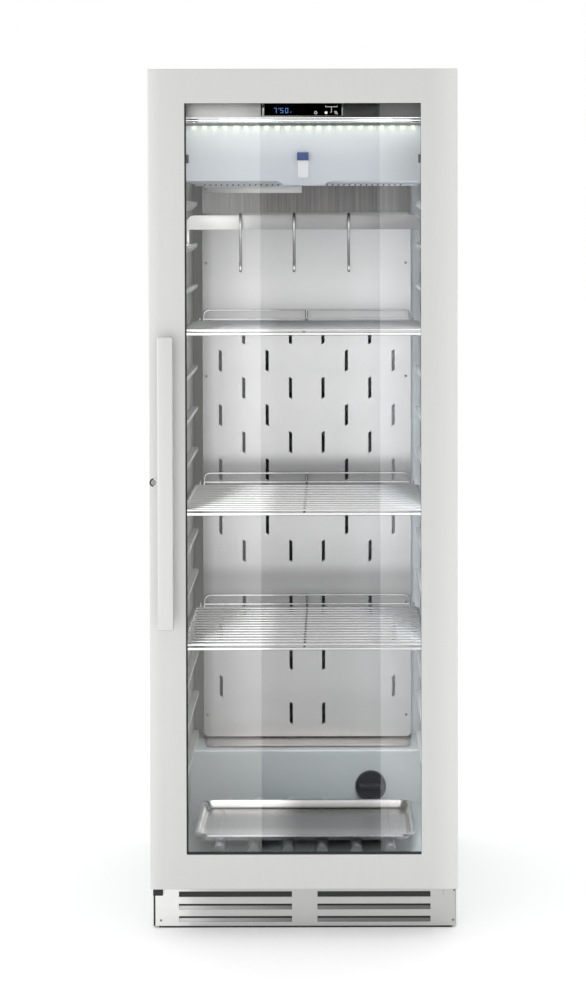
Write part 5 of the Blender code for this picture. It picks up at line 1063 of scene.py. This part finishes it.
ends = slot_ends("rear_duct_panel")
punches = joined([punch(low[0], low[1], high[1]) for low, high in zip(ends[0::2], ends[1::2])])
sheet = block((DUCT_LOW.x, DUCT_HIGH.x), (DUCT_LOW.y, DUCT_LOW.y + DUCT_SHEET), (DUCT_LOW.z, DUCT_HIGH.z))
round_edges(sheet, 1, DUCT_CORNER, 6)
cut = sheet.modifiers.new("slots", "BOOLEAN")
cut.solver = "EXACT"
cut.object = punches
bpy.ops.object.modifier_apply(modifier=cut.name)
bpy.data.objects.remove(punches)
flanges = [block(sorted((side * DUCT_HIGH.x, side * (DUCT_HIGH.x - DUCT_SHEET))),
                 (DUCT_LOW.y + DUCT_SHEET / 2, DUCT_HIGH.y),
                 (DUCT_LOW.z + DUCT_CORNER, DUCT_HIGH.z - DUCT_CORNER))
           for side in (-1, 1)]
duct_panel = joined([sheet, *flanges])
settle(duct_panel, "slotted_duct_panel", "cabinet", "satin_steel", panel_steel, "rear_duct_panel")
print("slots", len(ends) // 2, "faces", len(duct_panel.data.polygons))

# %% [markdown]
# ## Hanging rail
#
# The rail is a flat bar on edge with rounded upper corners. A short leg stands at each of its ends,
# with a foot that rests on a ledge of the liner.

# %% Cut the rail
RAIL_LOW, RAIL_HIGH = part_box("hanging_rail")
RAIL_HALF = 0.2300
RAIL_HEIGHT = 28 * MILLIMETRE
RAIL_THICK = 2.0 * MILLIMETRE
RAIL_CORNER = 15 * MILLIMETRE
LEG_WIDTH = 5 * MILLIMETRE
FOOT_THICK = 3 * MILLIMETRE
EDGE_ROUND = 0.4 * MILLIMETRE
rail_y = (RAIL_LOW.y + RAIL_HIGH.y) / 2
bar = block((-RAIL_HALF, RAIL_HALF), (rail_y - RAIL_THICK / 2, rail_y + RAIL_THICK / 2),
            (RAIL_HIGH.z - RAIL_HEIGHT, RAIL_HIGH.z))
round_edges(bar, 1, RAIL_CORNER, 10, lambda point: point.z > RAIL_HIGH.z - NEAR)
rail_pieces = [soften(bar, EDGE_ROUND, 2, 1.2)]
for side in (-1, 1):
    leg_x = sorted((side * RAIL_HALF, side * (RAIL_HALF - LEG_WIDTH)))
    foot_x = sorted((side * (RAIL_HALF - LEG_WIDTH), side * RAIL_HIGH.x))
    leg = block(leg_x, (rail_y + RAIL_THICK / 4, rail_y + RAIL_THICK / 4 + FOOT_THICK),
                (RAIL_LOW.z + FOOT_THICK / 2, RAIL_HIGH.z - RAIL_HEIGHT + FOOT_THICK))
    foot = block(foot_x, (RAIL_LOW.y, RAIL_HIGH.y), (RAIL_LOW.z, RAIL_LOW.z + FOOT_THICK))
    rail_pieces += [soften(leg, EDGE_ROUND, 2), soften(foot, EDGE_ROUND, 2)]
settle(joined(rail_pieces), "bar_rail", "rail", "satin_steel", rail_steel, "hanging_rail")
print("rail from", round(RAIL_LOW.z, 4), "to", round(RAIL_HIGH.z, 4))

# %% [markdown]
# ## Filter cap
#
# The round cap low on the rear wall closes the charcoal filter's holder. It is moulded: a disc with a
# bevelled edge, a shallow well, a spigot behind, and a bar across it to turn it by.

# %% Mould the filter cap
CAP_LOW, CAP_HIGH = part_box("filter_cap")
CAP_THICK = 9 * MILLIMETRE
CAP_EDGE = 1.6 * MILLIMETRE
CAP_RIM = 4.5 * MILLIMETRE
CAP_WELL = 1.4 * MILLIMETRE
GRIP_HALF = 26 * MILLIMETRE
GRIP_HALF_HEIGHT = 5 * MILLIMETRE
GRIP_REACH = 7 * MILLIMETRE
SPIGOT_RADIUS = 20.5 * MILLIMETRE
cap_centre = (CAP_LOW + CAP_HIGH) / 2
cap_radius = (CAP_HIGH.x - CAP_LOW.x) / 2
cap_face = CAP_LOW.y + GRIP_REACH
cap_back = cap_face + CAP_THICK
cap = disc((cap_centre.x, (cap_face + cap_back) / 2, cap_centre.z), cap_radius, CAP_THICK, sides=72)
inset(cap, (0, -1, 0), (CAP_RIM, 0), (CAP_WELL / 2, -CAP_WELL))
inset(cap, (0, 1, 0), (cap_radius - SPIGOT_RADIUS, 0), (0, CAP_HIGH.y - cap_back))
soften(cap, CAP_EDGE / 2, 3)
grip = block((cap_centre.x - GRIP_HALF, cap_centre.x + GRIP_HALF), (CAP_LOW.y, cap_face + CAP_THICK / 2),
             (cap_centre.z - GRIP_HALF_HEIGHT, cap_centre.z + GRIP_HALF_HEIGHT))
cap = joined([cap, soften(grip, CAP_EDGE, 4)])
settle(cap, "moulded_filter_cap", "filter", "black_plastic", cap_moulding, "filter_cap")
print("filter cap", len(cap.data.polygons), "faces")

# %% [markdown]
# ## Sensor
#
# The humidity sensor sticks out of the housing: a white moulded stick with a blue clip at its top.

# %% Make the sensor
SENSOR_LOW, SENSOR_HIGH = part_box("humidity_sensor")
SENSOR_CLIP = 16 * MILLIMETRE
SENSOR_ROUND = 2.0 * MILLIMETRE
SENSOR_NARROW = 1.6 * MILLIMETRE
clip_z = SENSOR_HIGH.z - SENSOR_CLIP
stick = block((SENSOR_LOW.x + SENSOR_NARROW, SENSOR_HIGH.x - SENSOR_NARROW / 2),
              (SENSOR_LOW.y + SENSOR_NARROW, SENSOR_HIGH.y), (SENSOR_LOW.z, SENSOR_HIGH.z - SENSOR_ROUND))
soften(stick, SENSOR_ROUND, 4)
settle(stick, "sensor_stick", "cabinet", "sensor_plastic", white_abs_and_highlight, "humidity_sensor")
clip = block((SENSOR_LOW.x, SENSOR_HIGH.x), (SENSOR_LOW.y, SENSOR_HIGH.y), (clip_z, SENSOR_HIGH.z))
soften(clip, SENSOR_ROUND / 2, 3)
settle(clip, "sensor_clip", "cabinet", "sensor_plastic", sensor_blue)
print("sensor made")

# %% [markdown]
# ## Lamp profile
#
# The lamp sits in an extruded aluminium profile with two polished ridges and a groove between them.
# A grey channel below holds the row of light emitting diodes and hides them from the viewer, so only their
# light shows, as a row of soft spots on the housing. Its dark grey is partly its own anodised colour and
# partly painted shade, where the housing under the profile lies in shadow.

# %% Extrude the lamp profile
PROFILE_LOW, PROFILE_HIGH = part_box("lamp_profile")
RIDGE_ROUND = 0.3 * MILLIMETRE
UPPER_RIDGE = (4.0 * MILLIMETRE, 6.9 * MILLIMETRE)
LOWER_RIDGE = (0.0 * MILLIMETRE, 2.6 * MILLIMETRE)
GROOVE_DEPTH = 3.0 * MILLIMETRE
PROFILE_WALL = 1.2 * MILLIMETRE
CHANNEL_DEPTH = 5.5 * MILLIMETRE
CHANNEL_DROP = 5.4 * MILLIMETRE
CHANNEL_SIDE = 3 * MILLIMETRE
SMALL_GAP = 0.2 * MILLIMETRE
profile_x = (PROFILE_LOW.x, PROFILE_HIGH.x)
lamp_front = PROFILE_LOW.y
upper, lower = (block(profile_x, (lamp_front, lamp_front + 2 * GROOVE_DEPTH),
                      [PROFILE_LOW.z + height for height in heights])
                for heights in (UPPER_RIDGE, LOWER_RIDGE))
web = block(profile_x, (lamp_front + GROOVE_DEPTH, lamp_front + 1.5 * GROOVE_DEPTH),
            (PROFILE_LOW.z + PROFILE_WALL, PROFILE_HIGH.z - PROFILE_WALL))
roof = block(profile_x, (lamp_front + GROOVE_DEPTH, PROFILE_HIGH.y),
             (PROFILE_HIGH.z - PROFILE_WALL, PROFILE_HIGH.z))
for ridge in (upper, lower):
    soften(ridge, RIDGE_ROUND, 4)
settle(joined([upper, lower, web, roof]), "lamp_extrusion", "cabinet", "aluminium", lamp_alloy,
       "lamp_profile")
# The channel's dark grey is partly painted shade of the housing's band under the profile.
channel = block((PROFILE_LOW.x + CHANNEL_SIDE, PROFILE_HIGH.x - CHANNEL_SIDE),
                (HOUSING_LOW.y - SMALL_GAP - CHANNEL_DEPTH, HOUSING_LOW.y - SMALL_GAP),
                (PROFILE_LOW.z - CHANNEL_DROP, PROFILE_LOW.z - SMALL_GAP))
soften(channel, RIDGE_ROUND, 3)
settle(channel, "lamp_channel", "cabinet", "aluminium", channel_grey)
ridge_seal = block(profile_x, (lamp_front + GROOVE_DEPTH / 3, lamp_front + GROOVE_DEPTH - SMALL_GAP),
                   (PROFILE_LOW.z + UPPER_RIDGE[1] + SMALL_GAP / 2,
                    PROFILE_HIGH.z - PROFILE_WALL - SMALL_GAP / 2))
settle(soften(ridge_seal, SMALL_GAP, 2), "lamp_profile_seal", "cabinet", "rubber", rubber_and_painted_shadow)
print("lamp profile made")

# %% [markdown]
# ## Display
#
# The control is a black acrylic window in the fascia. Behind it a seven-segment display glows blue,
# with the temperature at the left and the humidity at the right, and the touch keys are printed white.
# A digit is a figure eight of seven bars of which some are lit. The bars here are thin plates.

# %% Light the display
DISPLAY_LOW, DISPLAY_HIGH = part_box("control_display")
SEGMENT_BARS = {"7": "abc", "5": "afgcd", "0": "abcdef"}
MARK_PROUD = 0.12 * MILLIMETRE
MARK_FLOAT = 0.02 * MILLIMETRE
DIGIT_HEIGHT = 9.6 * MILLIMETRE
DIGIT_WIDTH = 5.4 * MILLIMETRE
DIGIT_STROKE = 0.8 * MILLIMETRE
DIGIT_BASE = 1.5985
DIGIT_PLACES = (("7", -0.0570), ("5", -0.0440), ("0", -0.0345))
mark_y = (DISPLAY_LOW.y - MARK_FLOAT - MARK_PROUD, DISPLAY_LOW.y - MARK_FLOAT)


def mark(left, right, bottom, top):
    """A thin plate on the display's face."""
    return soften(block((left, right), mark_y, (bottom, top)), MARK_FLOAT, 2)


def digit(figure, left, base, width, height, stroke):
    """The lit bars of a seven-segment digit."""
    right, top, centre = left + width, base + height, base + height / 2
    bars = {
        "a": (left, right, top - stroke, top), "d": (left, right, base, base + stroke),
        "g": (left, right, centre - stroke / 2, centre + stroke / 2),
        "f": (left, left + stroke, centre, top), "b": (right - stroke, right, centre, top),
        "e": (left, left + stroke, base, centre), "c": (right - stroke, right, base, centre),
    }
    return [mark(*bars[bar]) for bar in SEGMENT_BARS[figure]]


def ring(across, height, radius, stroke, sides=24):
    """A flat ring on the display's face."""
    return hollow(disc((across, sum(mark_y) / 2, height), radius, MARK_PROUD, sides=sides), stroke)


DEGREE_X = -0.0470
DEGREE_RADIUS = 1.1 * MILLIMETRE
SMALL_MARK = 0.8 * MILLIMETRE
PER_CENT_X = -0.0240
blue_marks = []
for figure, left in DIGIT_PLACES:
    blue_marks += digit(figure, left, DIGIT_BASE, DIGIT_WIDTH, DIGIT_HEIGHT, DIGIT_STROKE)
blue_marks.append(ring(DEGREE_X, DIGIT_BASE + DIGIT_HEIGHT - DEGREE_RADIUS, DEGREE_RADIUS, SMALL_MARK / 2))
for step in (-1, 0, 1):
    blue_marks.append(ring(PER_CENT_X + step * SMALL_MARK, DIGIT_BASE + (2 + step) * SMALL_MARK,
                           SMALL_MARK * 0.7, SMALL_MARK * 0.3, 12))
settle(joined(blue_marks), "display_digits", "cabinet", "display_glass", blue_glow)
print("digits", len(blue_marks), "marks")

# %% [markdown]
# The keys are a ring, a dot and a ratio mark under a bracket, all printed on the glass. They are plain
# plates as thick as a coat of ink, and the ratio mark is two small rings and a leaning stroke.

# %% Print the touch keys
KEY_HEIGHT = 1.5990
RING_X = 0.0249
DOT_X = 0.0450
RATIO_X = 0.0644
KEY_RADIUS = 2.9 * MILLIMETRE
KEY_STROKE = 0.9 * MILLIMETRE
RATIO_ASIDE = 1.9 * MILLIMETRE
RATIO_RISE = 1.7 * MILLIMETRE
RATIO_RADIUS = 1.5 * MILLIMETRE
RATIO_STROKE = SMALL_MARK * 0.8
SLASH_LEAN = math.radians(35)
BRACKET = (0.0435, 0.0672)
BRACKET_HEIGHT = 1.6100
BRACKET_TICK = 2.6 * MILLIMETRE
STEM_X = 0.0555
STEM_LOW = 1.6000
white_marks = [
    ring(RING_X, KEY_HEIGHT, KEY_RADIUS, KEY_STROKE),
    soften(disc((DOT_X, sum(mark_y) / 2, KEY_HEIGHT), KEY_RADIUS, MARK_PROUD, sides=24), MARK_FLOAT, 2),
    mark(BRACKET[0], BRACKET[1], BRACKET_HEIGHT, BRACKET_HEIGHT + SMALL_MARK),
    mark(BRACKET[0], BRACKET[0] + SMALL_MARK, BRACKET_HEIGHT, BRACKET_HEIGHT + BRACKET_TICK),
    mark(BRACKET[1] - SMALL_MARK, BRACKET[1], BRACKET_HEIGHT, BRACKET_HEIGHT + BRACKET_TICK),
    mark(STEM_X - SMALL_MARK / 2, STEM_X + SMALL_MARK / 2, STEM_LOW, BRACKET_HEIGHT),
    mark(STEM_X - 3 * SMALL_MARK, STEM_X, STEM_LOW - SMALL_MARK, STEM_LOW),
    *(ring(RATIO_X - side * RATIO_ASIDE, KEY_HEIGHT + side * RATIO_RISE, RATIO_RADIUS, RATIO_STROKE)
      for side in (1, -1)),
]
slash = mark(RATIO_X - KEY_STROKE / 2, RATIO_X + KEY_STROKE / 2, KEY_HEIGHT - KEY_RADIUS,
             KEY_HEIGHT + KEY_RADIUS)
centre = Matrix.Translation((RATIO_X, 0, KEY_HEIGHT))
slash.data.transform(centre @ Matrix.Rotation(SLASH_LEAN, 4, "Y") @ centre.inverted())
settle(joined([*white_marks, slash]), "display_keys", "cabinet", "display_glass", white_print)
print("keys", len(white_marks) + 1, "marks")

# %% [markdown]
# A narrow bright bezel stands at either side of the display's window, and a black joint beside the
# left one. They stand a little proud of the fascia, as pressed-in trim does.

# %% Set the bezels
BEZEL_WIDTHS = (2.6 * MILLIMETRE, 1.6 * MILLIMETRE)
JOINT = (6.6 * MILLIMETRE, 3.8 * MILLIMETRE)
BEZEL_PROUD = 0.6 * MILLIMETRE
BEZEL_GAP = 0.4 * MILLIMETRE
BEZEL_ROUND = 0.25 * MILLIMETRE
trim_back = FASCIA_FACE - SMALL_GAP / 4
trim_z = (DISPLAY_LOW.z, DISPLAY_HIGH.z)
bezels = []
for edge, out, width in ((DISPLAY_LOW.x, -1, BEZEL_WIDTHS[0]), (DISPLAY_HIGH.x, 1, BEZEL_WIDTHS[1])):
    bezel_x = sorted((edge + out * BEZEL_GAP, edge + out * (BEZEL_GAP + width)))
    bezels.append(soften(block(bezel_x, (trim_back - BEZEL_PROUD, trim_back), trim_z), BEZEL_ROUND, 2))
settle(joined(bezels), "display_bezels", "cabinet", "aluminium", lamp_alloy)
joint = block((DISPLAY_LOW.x - JOINT[0], DISPLAY_LOW.x - JOINT[1]), (trim_back - BEZEL_PROUD / 2, trim_back),
              trim_z)
settle(soften(joint, MARK_FLOAT, 2), "display_joint", "cabinet", "rubber", rubber_and_painted_shadow)
print("bezels", BEZEL_WIDTHS)

# %% [markdown]
# ## Screws
#
# Sheet panels are held by pan-head screws. One head is modelled as a short bar with a rounded edge and a sunk
# recess for the driver, then copied to each place. Two small holes in the panel are drawn as black discs,
# which are painted shade.


# %% Drive the screws
def screw_heads(name, places, radius):
    """Pan-head screws at places on a face of the cabinet that looks to the front."""
    height = radius * HEAD_SHARE
    across, face, up = places[0]
    head = soften(disc((across, face - height / 2, up), radius, height, sides=20), radius * ROUND_SHARE, 3)
    inset(head, (0, -1, 0), (radius * RIM_SHARE, 0), (radius * DRAFT_SHARE, -height / 2), share=0.999)
    copies = [copy_moved(head, Vector(place) - Vector(places[0])) for place in places[1:]]
    settle(joined([head, *copies]), name, "cabinet", "bright_steel", screw_steel)


HEAD_SHARE = 0.55
ROUND_SHARE = 0.35
RIM_SHARE = 0.25
DRAFT_SHARE = 0.05
COVER_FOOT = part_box("fan_cover_panel")[0].z
SCREW_RADIUS = 3.0 * MILLIMETRE
DUCT_SCREW_X = (-0.2193, 0.2163)
DUCT_SCREW_FIRST = 0.3058
DUCT_SCREW_PITCH = 0.2475
DUCT_SCREWS = 5
COVER_SCREW_RISE = 0.051
SMALL_HOLE = (0.1465, 0.514)
duct_face = DUCT_LOW.y - MARK_FLOAT
places = [(across, duct_face, DUCT_SCREW_FIRST + number * DUCT_SCREW_PITCH)
          for across in DUCT_SCREW_X for number in range(DUCT_SCREWS)]
places += [(across, duct_face, COVER_FOOT + COVER_SCREW_RISE) for across in DUCT_SCREW_X]
screw_heads("duct_panel_screws", places, SCREW_RADIUS)

# Painted shade: each small hole is a black disc on the panel's face.
plug = disc((-SMALL_HOLE[0], duct_face - MARK_PROUD / 2, SMALL_HOLE[1]), SCREW_RADIUS * 0.6, MARK_PROUD,
            sides=16)
soften(plug, MARK_PROUD / 3, 2)
hole_shadows = [plug, copy_moved(plug, (2 * SMALL_HOLE[0], 0, 0))]
settle(joined(hole_shadows), "duct_panel_hole_shadows", "cabinet", "black_plastic", black_moulding_and_painted_shade)
print("screws and plugs made")

# %% [markdown]
# Under its rear edge the housing has a perforated lip, where the fan draws its air; its holes are black
# discs, painted shade in the holes. A guide strip is riveted to the cover below it, and a bent plate joins
# the duct panel to the ledge at its foot. A black strip behind that plate is painted shadow in the gap under
# the duct panel.

# %% Perforate the lip and fold the strips
COVER_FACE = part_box("fan_cover_panel")[0].y
LIP_DEPTH = (4.5 * MILLIMETRE, 3.0 * MILLIMETRE)
LIP_DROP = 3.6 * MILLIMETRE
LIP_TOP = 1.4668
PUNCH_PITCH = 0.0123
PUNCH_COUNT = 14
PUNCH_RADIUS = 1.8 * MILLIMETRE
PUNCH_FIRST = (-0.2210, 0.0450)
PUNCH_DROP = 1.7 * MILLIMETRE
STRIP = ((-0.2230, -0.0100), (1.4480, 1.4655))
STRIP_THICK = 1.0 * MILLIMETRE
FOOT_PLATE = ((-0.2190, 0.2240), (0.1605, 0.2243), (0.2525, 0.2556))
FOOT_RISE = 0.6 * MILLIMETRE
DUCT_FOOT_SHADOW = ((-0.2265, 0.2265), (0.2525, 0.2600))
STEP_HIGHLIGHT_X = (-0.2160, 0.2260)
STEP_HIGHLIGHT_RADIUS = 0.9 * MILLIMETRE
FOOT_CORNER = 12 * MILLIMETRE
lip_front = HOUSING_HIGH.y - LIP_DEPTH[0]
lip = block((HOUSING_LOW.x + LIP_DROP, HOUSING_HIGH.x - LIP_DROP), (lip_front, HOUSING_HIGH.y - LIP_DEPTH[1]),
            (LIP_TOP - LIP_DROP, LIP_TOP))
settle(soften(lip, SMALL_GAP, 2), "housing_lip", "cabinet", "coated_sheet", housing_coat)
# Painted shade: each hole of the lip is a black disc on its face.
vent = disc((PUNCH_FIRST[0], lip_front - MARK_PROUD / 2, LIP_TOP - PUNCH_DROP), PUNCH_RADIUS, MARK_PROUD,
            sides=12)
soften(vent, MARK_FLOAT, 2)
vents = [copy_moved(vent, (first - PUNCH_FIRST[0] + number * PUNCH_PITCH, 0, 0))
         for first in PUNCH_FIRST for number in range(PUNCH_COUNT) if (first, number) != (PUNCH_FIRST[0], 0)]
settle(joined([vent, *vents]), "housing_vents", "cabinet", "black_plastic", black_moulding_and_painted_shade)
# The guide strip's tint is painted paler towards its top.
strip = block(STRIP[0], (COVER_FACE - MARK_FLOAT - STRIP_THICK, COVER_FACE - MARK_FLOAT), STRIP[1])
settle(soften(strip, STRIP_THICK / 4, 2), "guide_strip", "cabinet", "satin_steel", strip_steel)
plate = block(*FOOT_PLATE)
round_edges(plate, 2, FOOT_CORNER, 6, lambda point: point.y < FOOT_PLATE[1][0] + NEAR)
shift(plate, lambda point: point.co.y > FOOT_PLATE[1][1] - NEAR, (0, 0, FOOT_RISE))
settle(soften(plate, STRIP_THICK / 4, 2), "duct_foot_plate", "cabinet", "satin_steel", foot_steel)
# Painted shadow: a black strip in the gap under the duct panel's foot.
foot_shadow_strip = block(DUCT_FOOT_SHADOW[0], (DUCT_LOW.y + 2 * STRIP_THICK, DUCT_LOW.y + 3 * STRIP_THICK),
                   DUCT_FOOT_SHADOW[1])
settle(soften(foot_shadow_strip, SMALL_GAP, 2), "duct_panel_foot_shadow", "cabinet", "rubber", rubber_and_painted_shadow)
# Painted highlight: a thin white rod along the round edge of the floor's step.
step_highlight_z = FLOOR_TOP - STEP_ROUND * 0.3
bead = rod([(across, STEP_Y + STEP_HIGHLIGHT_RADIUS, step_highlight_z) for across in STEP_HIGHLIGHT_X], STEP_HIGHLIGHT_RADIUS)
settle(bead, "step_highlight_rod", "cabinet", "liner_plastic", white_abs_and_highlight)
print("lip, strip and foot plate made")

# %% [markdown]
# ## Plinth
#
# The plinth's lower slots are pressed louvres: the sheet is slit and pushed back, so a thin dark gap stays
# open above a sloping lip. The upper pair is open all over. Black plates behind all the slots are painted
# shade, and black strips at the plinth's left edge and along its foot are painted shadow.

# %% Press the louvres and set the painted shade plates and shadow strips
PLINTH_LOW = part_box("plinth_grille")[0]
SLOT_X = ((-0.2470, -0.0250), (0.0250, 0.2470))
SLOT_HALF = 5.8 * MILLIMETRE
LOUVRE_ROWS = (0.0173, 0.0417)
OPEN_ROW = 0.0661
LOUVRE_GAP = 4.5 * MILLIMETRE
LOUVRE_LEAN = 2.0 * MILLIMETRE
LOUVRE_THICK = 0.8 * MILLIMETRE
SHADOW_PLATE_BACK = 3.6 * MILLIMETRE
SIDE_SHADOW_X = (-0.2962, -0.2932)
SIDE_SHADOW_TOP = 0.0642
FLOOR_SHADOW_STRIP = ((-0.2860, 0.2890), (0.0002, 0.0034))
plinth_front = PLINTH_LOW.y
slot_x, row = SLOT_X[0], LOUVRE_ROWS[0]
louvre = block(slot_x, (plinth_front + SMALL_GAP, plinth_front + SMALL_GAP + LOUVRE_THICK),
               (row - SLOT_HALF, row + SLOT_HALF - LOUVRE_GAP))
shift(louvre, lambda point: point.co.z > row, (0, LOUVRE_LEAN, 0))
soften(louvre, SMALL_GAP, 2)
# Painted shade: black plates behind the slots darken what shows through them.
shade = block(slot_x, (plinth_front + SHADOW_PLATE_BACK, plinth_front + SHADOW_PLATE_BACK + SMALL_GAP),
              (row, row + SLOT_HALF))
open_slot_shadow_plate = block(slot_x, (plinth_front + LOUVRE_THICK, plinth_front + LOUVRE_THICK + SMALL_GAP),
                   (OPEN_ROW - SLOT_HALF, OPEN_ROW + SLOT_HALF))
for piece in (shade, open_slot_shadow_plate):
    soften(piece, SMALL_GAP / 3, 2)
across, up = SLOT_X[1][0] - SLOT_X[0][0], LOUVRE_ROWS[1] - LOUVRE_ROWS[0]
moves = ((across, 0, 0), (0, 0, up), (across, 0, up))
louvres = [louvre, *(copy_moved(louvre, move) for move in moves)]
shadow_plates = [shade, *(copy_moved(shade, move) for move in moves)]
shadow_plates += [open_slot_shadow_plate, copy_moved(open_slot_shadow_plate, moves[0])]
settle(joined(louvres), "plinth_louvres", "cabinet", "satin_steel", louvre_steel)
settle(joined(shadow_plates), "plinth_shadow_plates", "cabinet", "black_plastic", black_moulding_and_painted_shade)
# Painted shadow: black strips at the plinth's left edge and in the gap to the floor.
side_shadow_strip = block(SIDE_SHADOW_X, (plinth_front - SMALL_GAP, plinth_front - MARK_FLOAT),
                  (PLINTH_LOW.z, SIDE_SHADOW_TOP))
floor_shadow_strip = block(FLOOR_SHADOW_STRIP[0], (plinth_front + LOUVRE_THICK, plinth_front + 2 * LOUVRE_THICK),
                   FLOOR_SHADOW_STRIP[1])
soften(side_shadow_strip, MARK_FLOAT, 2)
soften(floor_shadow_strip, SMALL_GAP, 2)
settle(joined([side_shadow_strip, floor_shadow_strip]), "plinth_shadow_strips", "cabinet", "rubber", rubber_and_painted_shadow)

PLINTH_SCREWS = ((0.2915, 0.0149), (0.2936, 0.0745), (-0.2823, 0.0149))
SMALL_SCREW_RADIUS = 2.2 * MILLIMETRE
places = [(across, plinth_front - MARK_FLOAT, up) for across, up in PLINTH_SCREWS]
screw_heads("plinth_screws", places, SMALL_SCREW_RADIUS)
print("plinth finished with", len(louvres), "louvres")

# %% [markdown]
# The housing's cover is held by two black catches, one at either side. Each is a block with a frame
# round a sunk face.

# %% Snap in the catches
CATCH_X = (0.2265, 0.2342)
CATCH_Z = (1.5020, 1.5188)
CATCH_REACH = 2.5 * MILLIMETRE
CATCH_FRAME = 1.3 * MILLIMETRE
catch_back = HOUSING_LOW.y - SMALL_GAP / 4
catches = []
for side in (-1, 1):
    catch_x = sorted((side * CATCH_X[0], side * CATCH_X[1]))
    catch = block(catch_x, (catch_back - CATCH_REACH, catch_back), CATCH_Z)
    inset(catch, (0, -1, 0), (CATCH_FRAME, 0), (0, -CATCH_REACH / 2))
    catches.append(soften(catch, SMALL_GAP, 2))
settle(joined(catches), "housing_catches", "cabinet", "black_plastic", black_moulding_and_painted_shade)
print("catches", len(catches))
